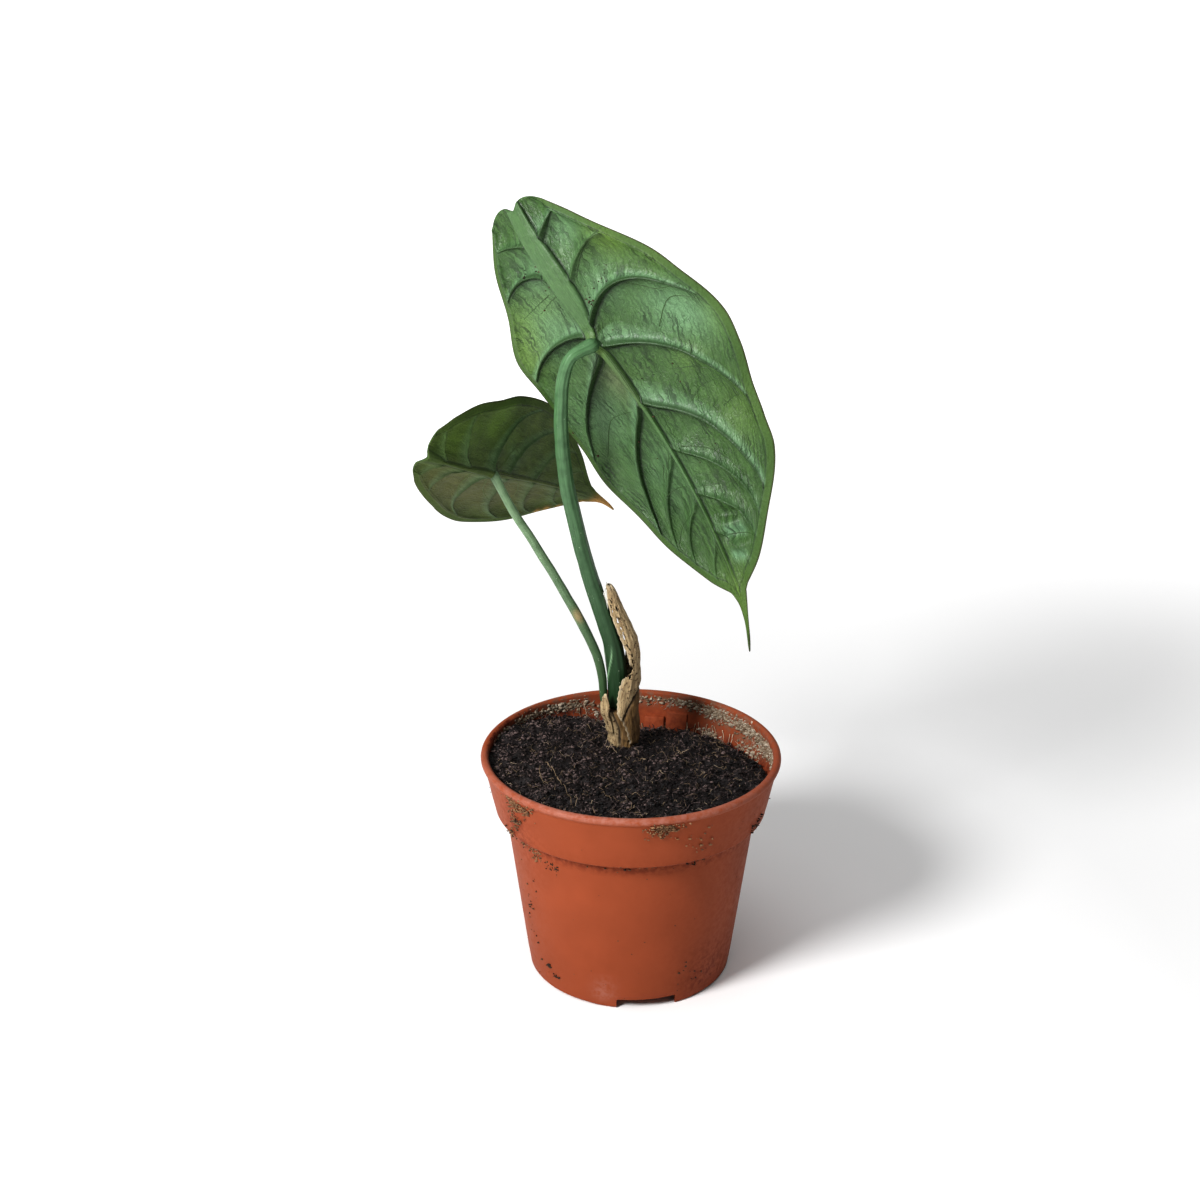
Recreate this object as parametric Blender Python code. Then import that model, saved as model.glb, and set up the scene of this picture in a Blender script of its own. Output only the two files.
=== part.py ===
"""Potted alocasia puncakborneensis: two peltate leaves on their stalks in a 10.5 cm nursery pot.

Sizes are in millimetres from the middle of the pot's foot, +Z up, with the leaves' undersides
towards -Y. Everything is turned to metres and moved at the end, so that the middle of the
plant's footprint stands on the origin.
"""
import math
import random
from dataclasses import dataclass

import bmesh
import bpy
from mathutils import Euler, Vector, noise

MM = 0.001
GAP = 0.3
SEED = 11

# Pot: conical body, stepped collar with a rolled lip, raised floor on a notched foot ring whose
# notches have a small foot at each end
POT_HEIGHT = 82.5
LIP_RADIUS = 52.5
LIP_ROLL = 1.4
COLLAR_TOP_RADIUS = 51.4
COLLAR_FOOT_RADIUS = 47.7
COLLAR_HEIGHT = 20.5
BODY_TOP_RADIUS = 44.2
BASE_RADIUS = 36.1
WALL = 1.3
FOOT_HEIGHT = 4.2
FOOT_WIDTH = 1.9
FLOOR_THICKNESS = 1.3
CORNER = 0.9
POT_SIDES = 60
NOTCH_COUNT = 3
NOTCH_WIDTH = 20.7
NOTCH_HEIGHT = 3.8
NOTCH_AZIMUTH = -80.4
FOOT_SPAN = 10.0
FOOT_DROP = 0.8
DRAIN_COUNT = 8
DRAIN_RADIUS = 3.4
DRAIN_CIRCLE = 23.0
CENTRE_DRAIN_RADIUS = 5.0

# Soil: its height where it meets the wall, by azimuth in degrees, and its height inside
SOIL_EDGE = ((-180, 79.3), (-135, 78.3), (-90, 77.5), (-45, 77.0), (-15, 75.0), (10, 70.0),
             (32, 68.3), (53, 68.2), (77, 66.2), (90, 66.0), (104, 70.5), (123, 75.5),
             (153, 78.8), (180, 79.3))
SOIL_MIDDLE = 78.0
SOIL_REACH = 50.0
SOIL_STEPS = 22
CRUMB_RISE = 0.9
CRUMB_SIZE = 4.5
HOLE_MARGIN = 0.55

# Corm: the papery brown neck that both stalks stand on, its lower part in a hole in the soil
CORM = ((65.0, -3.0, 15.5, 4.2), (70.0, -3.0, 15.5, 5.0), (78.0, -3.1, 15.5, 5.2),
        (84.0, -3.2, 15.5, 5.0), (88.0, -4.2, 15.4, 4.9), (91.4, -5.4, 15.3, 4.9))
CORM_SIDES = 20
CORM_STEPS = 14
CORM_FURROW = 0.2

# Stalks: x, y, z and radius along each one, from the corm to the seat under its blade
STALK_LARGE = ((-4.9, 15.7, 91.7, 2.9), (-4.9, 15.5, 97.0, 3.1), (-5.0, 15.2, 105.0, 3.35),
               (-6.2, 14.9, 114.2, 3.3), (-8.4, 14.6, 122.4, 3.15), (-10.9, 14.3, 130.1, 3.0),
               (-14.1, 14.0, 140.3, 2.8), (-17.0, 13.5, 151.0, 2.7), (-19.9, 13.0, 163.9, 2.65),
               (-22.1, 12.4, 174.5, 2.6), (-23.4, 11.9, 185.5, 2.55), (-24.0, 11.0, 196.0, 2.5),
               (-23.8, 9.6, 205.0, 2.5), (-22.9, 8.0, 213.6, 2.5), (-20.2, 7.0, 220.6, 2.55))
STALK_SMALL = ((-9.3, 14.7, 91.7, 1.25), (-9.8, 14.6, 96.6, 1.4), (-10.3, 14.3, 103.5, 1.5),
               (-11.9, 14.0, 111.3, 1.6), (-15.0, 14.0, 119.0, 1.65), (-19.1, 14.0, 127.6, 1.7),
               (-22.4, 14.0, 133.7, 1.6), (-26.4, 14.0, 141.2, 1.55), (-30.8, 13.8, 148.8, 1.55),
               (-35.0, 13.5, 156.3, 1.5), (-39.1, 13.1, 163.0, 1.5), (-42.6, 12.8, 169.6, 1.45))
STALK_STEP = 3.4
KEEL = 0.5
KEEL_HEIGHT = 28.0
KEEL_PLACE = 0.55
SEAT_DEPTH_LARGE = 3.0
SEAT_DEPTH_SMALL = 2.2

# Papery remains: height, centre, radii across and along Y, and the arc from front to back
DRIED_SHEATH = ((79.5, -3.1, 15.5, 5.95, 5.95, -62, 55), (86.0, -3.3, 15.5, 5.9, 5.9, -78, 66),
                (91.5, -3.8, 15.5, 6.0, 6.0, -99, 80), (95.0, -3.4, 15.5, 5.7, 5.4, -105, 92),
                (100.6, -2.7, 15.5, 5.5, 5.3, -106, 98), (105.0, -2.1, 15.5, 5.0, 5.2, -98, 98),
                (109.0, -1.8, 15.5, 4.5, 4.9, -76, 96), (114.0, -1.6, 15.4, 4.1, 4.5, -90, 96),
                (118.4, -2.4, 15.3, 4.1, 4.2, -104, 98), (123.4, -4.1, 15.1, 3.8, 3.9, -108, 100),
                (128.5, -5.8, 14.9, 3.1, 3.2, -116, 112), (133.0, -6.7, 14.7, 2.1, 2.1, -132, 125),
                (136.8, -7.5, 14.5, 1.4, 1.4, -140, 130), (138.6, -8.1, 14.4, 0.8, 0.8, -140, 130))
SHEATH_SCRAP = ((83.5, -3.2, 15.5, 5.7, 5.7, -156, -122), (87.0, -3.9, 15.4, 5.8, 5.8, -152, -120),
                (91.0, -5.4, 15.2, 5.9, 5.9, -150, -114), (94.0, -6.0, 15.0, 5.7, 5.3, -144, -106),
                (97.0, -6.1, 14.9, 5.3, 5.1, -136, -112), (98.8, -6.2, 14.8, 5.0, 5.0, -128, -118))
PAPER = 0.8
SHEATH_STEP = 2.6
SHEATH_COLUMNS = 10
SCRAP_COLUMNS = 4

# Blades
BLADE = 0.8
EDGE_INSET = 3.2
FLANK = 0.13
SLIM = 2.3
SEAT_HALF = 3.7
WAVE_LENGTH = 27.0
VEIN_LIFT = ((-20.0, 0.52), (-4.0, 0.56), (3.0, 0.8), (25.0, 1.0), (60.0, 1.0))
COSTA = ((-50.0, 7.0), (-28.0, 8.0), (-12.0, 6.5), (-3.0, 3.4), (0.0, 2.8), (6.0, 2.6))


@dataclass
class Leaf:
    """One blade: x runs from the stalk's seat to the tip, y to the leaf's left, z up."""

    seat: tuple
    turn: tuple
    front: float
    back: float
    tip: float
    notch: float
    fold: float
    arch_front: float
    arch_back: float
    cup: float
    sweep: float
    tip_hook: float
    tip_curl: float
    lobes: tuple
    stations: tuple
    left: tuple
    right: tuple
    veins_left: tuple
    veins_right: tuple
    midrib: float
    seat_depth: float
    rib: float
    quilt: float
    wave: float
    columns: tuple


# A vein is where it leaves the midrib, where it joins the edge vein, and how far back it bows
LARGE = Leaf(
    seat=(-12.0, 12.0, 224.8), turn=(-65.1, 50.7, -5.9),
    front=95.9, back=51.5, tip=22.0, notch=3.0,
    fold=5.5, arch_front=0.0046, arch_back=-0.0075, cup=0.0009, sweep=0.0003,
    tip_hook=0.0213, tip_curl=-0.0025, lobes=(4.9, 2.3),
    stations=(-47.9, -38.6, -23.2, -7.7, 14.4, 38.4, 59.5, 76.7, 88.2, 95.9),
    left=(18.5, 24.1, 31.6, 40.3, 40.6, 40.2, 32.5, 23.2, 14.2, 4.6),
    right=(14.2, 21.9, 33.5, 41.6, 46.6, 42.4, 36.2, 24.4, 14.2, 3.4),
    veins_left=((-38, -43, -42), (-26, -28, -34), (-3, 0, -11), (4, 33, 15),
                (25, 66, 39), (45, 74, 56), (62, 81, 68), (77, 89, 82)),
    veins_right=((-38, -43, -41), (-21, -28, -30), (-6, 6, -23), (2, 41, 10),
                 (25, 69, 39), (43, 76, 55), (60, 82, 67), (74, 89, 79)),
    midrib=2.8, seat_depth=SEAT_DEPTH_LARGE, rib=1.1, quilt=2.0, wave=0.6,
    columns=(0.08, 0.25, 0.44, 0.63, 0.82, 1.0))
SMALL = Leaf(
    seat=(-48.0, 15.0, 178.6), turn=(-62.4, 19.3, 64.4),
    front=70.7, back=37.4, tip=14.0, notch=2.0,
    fold=23.8, arch_front=0.0028, arch_back=-0.0073, cup=0.0, sweep=0.0001,
    tip_hook=0.0101, tip_curl=0.0007, lobes=(2.0, 0.4),
    stations=(-34.8, -28.0, -16.8, -5.6, 10.6, 28.3, 43.8, 56.6, 65.0, 70.7),
    left=(11.0, 16.0, 21.5, 25.6, 30.9, 32.4, 26.6, 17.0, 8.6, 3.4),
    right=(12.2, 18.2, 23.8, 27.2, 30.3, 30.4, 24.4, 16.2, 8.4, 3.2),
    veins_left=((-28, -31, -30), (-16, -19, -25), (-1, 14, -8), (12, 38, 20),
                (30, 50, 39), (45, 59, 51)),
    veins_right=((-28, -31, -30), (-15, -17, -21), (0, 24, 1), (11, 42, 20),
                 (29, 52, 38), (44, 60, 51)),
    midrib=1.9, seat_depth=SEAT_DEPTH_SMALL, rib=0.8, quilt=1.3, wave=0.4,
    columns=(0.12, 0.34, 0.58, 0.8, 1.0))

COLOURS = {
    "pot": ((0.50, 0.13, 0.06), 0.45),
    "soil": ((0.020, 0.015, 0.013), 0.95),
    "corm": ((0.33, 0.22, 0.12), 0.85),
    "petiole_large": ((0.06, 0.17, 0.06), 0.45),
    "petiole_small": ((0.10, 0.24, 0.09), 0.45),
    "blade_large": ((0.07, 0.16, 0.06), 0.40),
    "blade_small": ((0.05, 0.10, 0.035), 0.45),
    "dried_sheath": ((0.40, 0.27, 0.14), 0.80),
    "sheath_scrap": ((0.42, 0.29, 0.16), 0.80),
}


# Curves and tables
def smooth(table, x):
    """Value at x on a smooth curve through (x, value) pairs."""
    last = len(table) - 1
    if x <= table[0][0]:
        return table[0][1]
    if x >= table[last][0]:
        return table[last][1]
    i = max(k for k in range(last) if table[k][0] <= x)
    slopes = []
    for k in (i, i + 1):
        before = table[max(k - 1, 0)]
        after = table[min(k + 1, last)]
        slopes.append((after[1] - before[1]) / (after[0] - before[0]))
    span = table[i + 1][0] - table[i][0]
    t = (x - table[i][0]) / span
    rise = t * t * (3 - 2 * t)
    return (table[i][1] * (1 - rise) + table[i + 1][1] * rise
            + span * (t * (1 - t) ** 2 * slopes[0] - t * t * (1 - t) * slopes[1]))


def column(rows, key, x):
    """One column of a table of rows, read smoothly at height or length x."""
    return smooth([(row[0], row[key]) for row in rows], x)


def blend(a, b, t):
    return a + (b - a) * t


def bezier(start, pull, end, t):
    return start * (1 - t) ** 2 + pull * 2 * t * (1 - t) + end * t * t


# Mesh helpers
def make_object(name, bm):
    """Turn a millimetre bmesh into a named object in metres with its own material."""
    bmesh.ops.recalc_face_normals(bm, faces=bm.faces)
    bmesh.ops.scale(bm, vec=(MM, MM, MM), verts=bm.verts)
    mesh = bpy.data.meshes.new(name)
    bm.to_mesh(mesh)
    bm.free()
    obj = bpy.data.objects.new(name, mesh)
    bpy.context.collection.objects.link(obj)
    if name in COLOURS:
        mesh.materials.append(make_material(name))
        mesh.shade_smooth()
        mesh.set_sharp_from_angle(angle=math.radians(40))
    return obj


def make_material(name):
    colour, roughness = COLOURS[name]
    material = bpy.data.materials.new(name)
    material.use_nodes = True
    shader = material.node_tree.nodes["Principled BSDF"]
    shader.inputs["Base Color"].default_value = (*colour, 1.0)
    shader.inputs["Roughness"].default_value = roughness
    shader.inputs["Metallic"].default_value = 0.0
    return material


def cut_with(obj, cutters):
    """Subtract a list of cutter objects from an object."""
    group = bpy.data.collections.new(obj.name + "_cutters")
    bpy.context.scene.collection.children.link(group)
    for cutter in cutters:
        bpy.context.collection.objects.unlink(cutter)
        group.objects.link(cutter)
        cutter.hide_render = True
        cutter.display_type = "WIRE"
    cut = obj.modifiers.new("cut", "BOOLEAN")
    cut.operation = "DIFFERENCE"
    cut.operand_type = "COLLECTION"
    cut.collection = group
    cut.solver = "EXACT"


def loft(bm, rings):
    """Skin a list of equal rings of points into a closed tube with flat ends."""
    first = [bm.verts.new(p) for p in rings[0]]
    edges = [bm.edges.new((a, b)) for a, b in zip(first, first[1:] + first[:1])]
    bmesh.ops.contextual_create(bm, geom=edges)
    for ring in rings[1:]:
        grown = bmesh.ops.extrude_edge_only(bm, edges=edges)["geom"]
        verts = [g for g in grown if isinstance(g, bmesh.types.BMVert)]
        edges = [g for g in grown if isinstance(g, bmesh.types.BMEdge)
                 and all(v in verts for v in g.verts)]
        for vert, point in zip(verts, ring):
            vert.co = point
    bmesh.ops.contextual_create(bm, geom=edges)
    bmesh.ops.triangulate(bm, faces=bm.faces)


def grid_sheet(bm, rows, columns):
    """A flat grid whose vertices are returned as {(row, column): vertex}."""
    bmesh.ops.create_grid(bm, x_segments=columns, y_segments=rows, size=0.5)
    found = {}
    for vert in bm.verts:
        i = round((vert.co.y + 0.5) * rows)
        j = round((vert.co.x + 0.5) * columns)
        found[i, j] = vert
    return found


def thicken(bm, thickness):
    """Give a triangulated sheet its second face; thickness maps a vertex to its depth."""
    depths = {tuple(v.co): thickness[v] for v in bm.verts}
    grown = bmesh.ops.extrude_face_region(bm, geom=bm.faces[:], use_keep_orig=True)["geom"]
    for vert in (g for g in grown if isinstance(g, bmesh.types.BMVert)):
        vert.co.z -= depths[tuple(vert.co)]


# Pot
def arc(centre, radius, start, end, steps):
    """Points of a profile arc between two angles in degrees."""
    points = []
    for k in range(steps + 1):
        angle = math.radians(blend(start, end, k / steps))
        points.append((centre[0] + radius * math.cos(angle), centre[1] + radius * math.sin(angle)))
    return points


def pot_inside(z):
    """Inner radius of the pot at a height above its floor."""
    ledge = POT_HEIGHT - COLLAR_HEIGHT
    if z > ledge + WALL:
        slope = (COLLAR_TOP_RADIUS - COLLAR_FOOT_RADIUS) / (COLLAR_HEIGHT - 2 * LIP_ROLL)
        return COLLAR_FOOT_RADIUS - WALL + slope * (z - ledge)
    slope = (BODY_TOP_RADIUS - BASE_RADIUS) / ledge
    return BASE_RADIUS - WALL + slope * z


def build_pot():
    ledge = POT_HEIGHT - COLLAR_HEIGHT
    floor = FOOT_HEIGHT + FLOOR_THICKNESS
    lip = (LIP_RADIUS - LIP_ROLL, POT_HEIGHT - LIP_ROLL)
    profile = [(CENTRE_DRAIN_RADIUS, FOOT_HEIGHT)]
    profile += [(BASE_RADIUS - FOOT_WIDTH, FOOT_HEIGHT), (BASE_RADIUS - FOOT_WIDTH, 0.0)]
    profile += arc((BASE_RADIUS - CORNER, CORNER), CORNER, -90, 0, 3)
    profile += [(BODY_TOP_RADIUS, ledge - 0.8)]
    profile += [(BODY_TOP_RADIUS + 0.7, ledge), (COLLAR_FOOT_RADIUS - 0.7, ledge)]
    profile += [(COLLAR_FOOT_RADIUS, ledge + 0.8)]
    profile += [(COLLAR_TOP_RADIUS, POT_HEIGHT - 2.2 * LIP_ROLL)]
    profile += arc(lip, LIP_ROLL, -50, 160, 6)
    profile += [(pot_inside(POT_HEIGHT - 2 * LIP_ROLL), POT_HEIGHT - 2 * LIP_ROLL)]
    profile += [(pot_inside(ledge + WALL + 0.6), ledge + WALL + 0.6)]
    profile += [(pot_inside(ledge + WALL + 0.6) - 0.8, ledge + WALL)]
    profile += [(pot_inside(ledge - 0.4) + 0.4, ledge + WALL - 0.4), (pot_inside(ledge), ledge - 0.4)]
    profile += [(pot_inside(floor + 1.0), floor + 1.0), (pot_inside(floor) - 1.0, floor)]
    profile += [(CENTRE_DRAIN_RADIUS, floor)]
    bm = bmesh.new()
    verts = [bm.verts.new((r, 0.0, z)) for r, z in profile]
    edges = [bm.edges.new((a, b)) for a, b in zip(verts, verts[1:] + verts[:1])]
    bmesh.ops.spin(bm, geom=verts + edges, cent=(0, 0, 0), axis=(0, 0, 1),
                   angle=math.tau, steps=POT_SIDES, use_merge=True)
    bmesh.ops.remove_doubles(bm, verts=bm.verts, dist=0.01)
    pot = make_object("pot", bm)
    cutters = []
    for k in range(DRAIN_COUNT):
        azimuth = math.tau * (k + 0.5) / DRAIN_COUNT
        place = (DRAIN_CIRCLE * math.cos(azimuth), DRAIN_CIRCLE * math.sin(azimuth), floor)
        cutters.append(make_drain_cutter(k, place))
    for k in range(NOTCH_COUNT):
        azimuth = math.radians(NOTCH_AZIMUTH + 360 * k / NOTCH_COUNT)
        cutters.append(make_notch_cutter(k, azimuth))
        cutters.append(make_ring_cutter(k, azimuth + math.pi / NOTCH_COUNT))
    cut_with(pot, cutters)


def make_drain_cutter(number, place):
    bm = bmesh.new()
    bmesh.ops.create_cone(bm, cap_ends=True, segments=12, radius1=DRAIN_RADIUS,
                          radius2=DRAIN_RADIUS, depth=3 * FLOOR_THICKNESS)
    bmesh.ops.translate(bm, vec=place, verts=bm.verts)
    return make_object("drain_cutter_%d" % number, bm)


def make_notch_cutter(number, azimuth):
    bm = bmesh.new()
    bmesh.ops.create_cube(bm, size=1.0)
    bmesh.ops.scale(bm, vec=(10.0, NOTCH_WIDTH, 2 * NOTCH_HEIGHT), verts=bm.verts)
    bmesh.ops.translate(bm, vec=(BASE_RADIUS, 0, 0), verts=bm.verts)
    spin = Euler((0, 0, azimuth)).to_matrix()
    bmesh.ops.rotate(bm, cent=(0, 0, 0), matrix=spin, verts=bm.verts)
    return make_object("notch_cutter_%d" % number, bm)


def make_ring_cutter(number, azimuth):
    """A wedge that lifts the foot ring off the ground between one notch's foot and the next."""
    notch = math.asin(NOTCH_WIDTH / 2 / BASE_RADIUS)
    half = math.pi / NOTCH_COUNT - notch - math.radians(FOOT_SPAN)
    reach = 1.5 * BASE_RADIUS
    corners = [(0.0, 0.0), (reach * math.cos(azimuth - half), reach * math.sin(azimuth - half)),
               (reach * math.cos(azimuth + half), reach * math.sin(azimuth + half))]
    bm = bmesh.new()
    loft(bm, [[Vector((*corner, z)) for corner in corners] for z in (-FOOT_DROP, FOOT_DROP)])
    return make_object("ring_cutter_%d" % number, bm)


# Soil
def soil_height(x, y):
    """Top of the soil: level round the plant, high to the left, low along the back wall."""
    edge = smooth(SOIL_EDGE, math.degrees(math.atan2(y, x)))
    share = min(math.hypot(x, y) / SOIL_REACH, 1.0) ** 2.2
    return blend(SOIL_MIDDLE, edge, share)


def disc_place(i, j, steps):
    """Spread a square grid evenly over a disc: radius as a share of one, and azimuth."""
    a = 2.0 * i / steps - 1.0
    b = 2.0 * j / steps - 1.0
    if a == 0.0 and b == 0.0:
        return 0.0, 0.0
    if abs(a) > abs(b):
        radius, azimuth = a, math.pi / 4 * b / a
    else:
        radius, azimuth = b, math.pi / 2 - math.pi / 4 * a / b
    if radius < 0:
        radius, azimuth = -radius, azimuth + math.pi
    return radius, azimuth


def build_soil():
    """A plug that fills the pot, with a crumbly top and a hole for the corm."""
    bm = bmesh.new()
    rng = random.Random(SEED)
    for (i, j), vert in grid_sheet(bm, SOIL_STEPS, SOIL_STEPS).items():
        share, azimuth = disc_place(i, j, SOIL_STEPS)
        if share < 0.999:
            share += rng.uniform(-0.2, 0.2) / SOIL_STEPS
            azimuth += rng.uniform(-0.2, 0.2) / SOIL_STEPS
        radius = share * SOIL_REACH
        x = radius * math.cos(azimuth)
        y = radius * math.sin(azimuth)
        z = soil_height(x, y)
        if share < 0.999:
            z += CRUMB_RISE * noise.fractal(Vector((x, y, 0.0)) / CRUMB_SIZE, 0.7, 2.1, 3)
        side = (pot_inside(z) - GAP) / SOIL_REACH
        vert.co = (x * side, y * side, z)
    floor = FOOT_HEIGHT + FLOOR_THICKNESS + GAP
    ledge = POT_HEIGHT - COLLAR_HEIGHT
    shaft = pot_inside(ledge - 0.4) - GAP
    sides = ((shaft, ledge + WALL + 0.2), (shaft, ledge - 0.4),
             (pot_inside(floor + 1.2) - GAP, floor + 1.2), (pot_inside(floor) - 2.0, floor))
    edges = [e for e in bm.edges if e.is_boundary]
    for radius, z in sides:
        grown = bmesh.ops.extrude_edge_only(bm, edges=edges)["geom"]
        verts = [g for g in grown if isinstance(g, bmesh.types.BMVert)]
        edges = [e for e in bm.edges if e.is_boundary]
        for vert in verts:
            azimuth = math.atan2(vert.co.y, vert.co.x)
            vert.co = (radius * math.cos(azimuth), radius * math.sin(azimuth), z)
    bmesh.ops.contextual_create(bm, geom=edges)
    bmesh.ops.triangulate(bm, faces=bm.faces)
    soil = make_object("soil", bm)
    hole = bmesh.new()
    loft(hole, corm_rings(HOLE_MARGIN))
    cut_with(soil, [make_object("corm_cutter", hole)])


# Corm
def corm_rings(margin):
    """Rings of the corm, grown by a margin for the hole that it stands in."""
    rings = []
    for i in range(CORM_STEPS + 1):
        z = blend(CORM[0][0] - margin, CORM[-1][0], i / CORM_STEPS)
        centre = Vector((column(CORM, 1, z), column(CORM, 2, z), z))
        ring = []
        for k in range(CORM_SIDES):
            angle = math.tau * k / CORM_SIDES
            furrow = 0.0 if margin else CORM_FURROW * math.sin(5 * angle + 0.12 * z)
            radius = column(CORM, 3, z) + margin + furrow
            ring.append(centre + radius * Vector((math.cos(angle), math.sin(angle), 0.0)))
        rings.append(ring)
    return rings


def build_corm():
    bm = bmesh.new()
    loft(bm, corm_rings(0))
    make_object("corm", bm)


# Stalks
def leaf_turn(leaf):
    return Euler([math.radians(a) for a in leaf.turn]).to_matrix()


def stalk_path(rows, end):
    """Evenly spaced centre points and radii on a smooth curve through a table's rows."""
    knots = [Vector(row[:3]) for row in rows] + [end]
    radii = [row[3] for row in rows] + [rows[-1][3]]
    lengths = [0.0]
    for a, b in zip(knots, knots[1:]):
        lengths.append(lengths[-1] + (b - a).length)
    count = round(lengths[-1] / STALK_STEP)
    path = []
    for i in range(count + 1):
        s = lengths[-1] * i / count
        place = Vector([smooth([(d, k[axis]) for d, k in zip(lengths, knots)], s)
                        for axis in range(3)])
        path.append((place, smooth(list(zip(lengths, radii)), s)))
    return path


def build_stalk(name, rows, leaf, sides, keel):
    """A round stalk from a level foot to an end that lies flat under its blade."""
    up = leaf_turn(leaf) @ Vector((0, 0, 1))
    end = Vector(leaf.seat) - (leaf.seat_depth + GAP) * up
    path = stalk_path(rows, end)
    rings = []
    for i, (centre, radius) in enumerate(path):
        if i == 0:
            along = Vector((0, 0, 1))
        elif i == len(path) - 1:
            along = up
        else:
            along = (path[i + 1][0] - path[i - 1][0]).normalized()
        across = Vector((0, 1, 0)).cross(along).normalized()
        behind = along.cross(across)
        fade = max(0.0, 1.0 - (centre.z - rows[0][2]) / KEEL_HEIGHT)
        ring = []
        for k in range(sides):
            angle = math.tau * k / sides
            lift = keel * fade * math.exp(-((k / sides - KEEL_PLACE) / 0.05) ** 2)
            reach = radius + lift
            ring.append(centre + reach * (math.cos(angle) * across + math.sin(angle) * behind))
        rings.append(ring)
    bm = bmesh.new()
    loft(bm, rings)
    make_object(name, bm)


# Blades
def axis_width(leaf, x):
    """Half width of the midrib in front of the seat, and of the paired costae behind it."""
    share = leaf.midrib / LARGE.midrib
    if x < 0:
        return smooth(COSTA, x / share) * share
    return leaf.midrib * (1.0 - 0.7 * min(x / leaf.front, 1.0))


def half_width(leaf, side, x):
    """Half width of the blade, and of its drip tip, at a place along it."""
    widths = leaf.left if side > 0 else leaf.right
    if x <= leaf.front:
        return smooth(list(zip(leaf.stations, widths)), x)
    share = (x - leaf.front) / leaf.tip
    return smooth(((0.0, widths[-1]), (0.16, 2.2), (0.4, 1.4), (0.7, 0.9), (1.0, 0.5)), share)


def vein_at(leaf, side, v):
    """Start, end and bow of the vein line at a row, which may lie between two veins."""
    veins = leaf.veins_left if side > 0 else leaf.veins_right
    apex = (leaf.front, leaf.front, leaf.front)
    veins = veins + (apex,)
    k = min(int(v), len(veins) - 2)
    return [blend(a, b, v - k) for a, b in zip(veins[k], veins[k + 1])]


def half_row(leaf, side, v):
    """Flat points of half a row, from the blade's axis out to the margin."""
    last = len(leaf.veins_left)
    if v < 0:
        edge = posterior_row(leaf, side)
        vein = half_row(leaf, side, 0)
        return [a.lerp(b, v + 1.0) for a, b in zip(edge, vein)]
    if v > last:
        x = leaf.front + leaf.tip * (v - last)
        start = end = pull = x
    else:
        start, end, pull = vein_at(leaf, side, v)
        x = (vein_at(leaf, 1, v)[0] + vein_at(leaf, -1, v)[0]) / 2
    width = half_width(leaf, side, end)
    inset = EDGE_INSET * min(1.0, width / 12.0) if width > 3.0 else 0.0
    inner = axis_width(leaf, start)
    if width < SLIM:
        inner = width
    middle = Vector((x, 0.0))
    foot = Vector((start, side * inner))
    rim = Vector((end, side * (width - inset)))
    lift = smooth(VEIN_LIFT, start)
    bend = Vector((pull, side * blend(inner, width - inset, lift)))
    spread = max(1, min(len(leaf.columns), int((width - inset - inner) / 2.0)))
    margin_x = min(end + 1.0, max(end, leaf.front))
    shoulder = 0.0 if width < SLIM else 0.55
    points = [middle, middle.lerp(foot, shoulder), foot]
    for share in leaf.columns:
        snapped = math.ceil(share * spread - 0.001) / spread
        points.append(bezier(foot, bend, rim, share if spread == len(leaf.columns) else snapped))
    points.append(Vector((margin_x, side * half_width(leaf, side, margin_x))))
    return points


def posterior_row(leaf, side):
    """The rounded end of one back lobe, from the notch to the first station."""
    widths = leaf.left if side > 0 else leaf.right
    lobe = leaf.lobes[0] if side > 0 else leaf.lobes[1]
    notch = Vector((-leaf.back, side * leaf.notch))
    pull = Vector((-leaf.back - lobe, side * 0.62 * widths[0]))
    corner = Vector((leaf.stations[0], side * widths[0]))
    shares = [0.0, 0.14] + [blend(0.14, 0.92, share) for share in leaf.columns] + [1.0]
    points = [bezier(notch, pull, corner, share) for share in shares]
    return [Vector((-leaf.back + 0.5 * leaf.notch, 0.0))] + points


def relief(leaf, side, v, number, place):
    """Rise of the upper face and depth of the blade at one point of a row."""
    last = len(leaf.veins_left)
    width = half_width(leaf, side, place.x)
    out = min(abs(place.y) / max(width, 0.1), 1.0)
    wave = leaf.wave * math.sin(place.x / WAVE_LENGTH * math.tau + side) * out ** 3
    shares = (0.0, 0.0, 0.0) + leaf.columns + (1.0,)
    share = shares[number]
    between = math.sin(math.pi * (v % 1.0)) if -1 < v < last else 0.0
    arch = math.sin(math.pi * share) ** 0.7 if 0.0 < share < 1.0 else 0.0
    rise = wave + leaf.quilt * between ** 0.8 * arch * min(1.0, width / 22.0)
    depth = BLADE
    on_vein = 0 <= v < last and v == int(v)
    if on_vein and 0.0 < share < 1.0:
        depth += leaf.rib * (1.0 - 0.6 * share)
    if number == len(shares) - 2 and width > 6.0:
        depth += 0.35 * leaf.rib
    if number <= 2:
        depth += axis_rib(leaf, place.x, number)
    return rise, depth


def axis_rib(leaf, x, number):
    """How far the midrib, the costae behind the seat and the seat itself stand down."""
    seat = leaf.seat_depth - BLADE
    if abs(x) < SEAT_HALF:
        return seat
    if x > 0:
        height = blend(seat, 0.5, min(x / leaf.front, 1.0) ** 0.7)
        return height * (1.0, 0.8, 0.1)[number]
    height = blend(0.75 * seat, 0.4 * seat, min(-x / leaf.back, 1.0))
    behind = min(1.0, (-x - SEAT_HALF) / 8.0)
    return height * blend((1.0, 0.9, 0.5)[number], (0.2, 0.35, 1.0)[number], behind)


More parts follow.
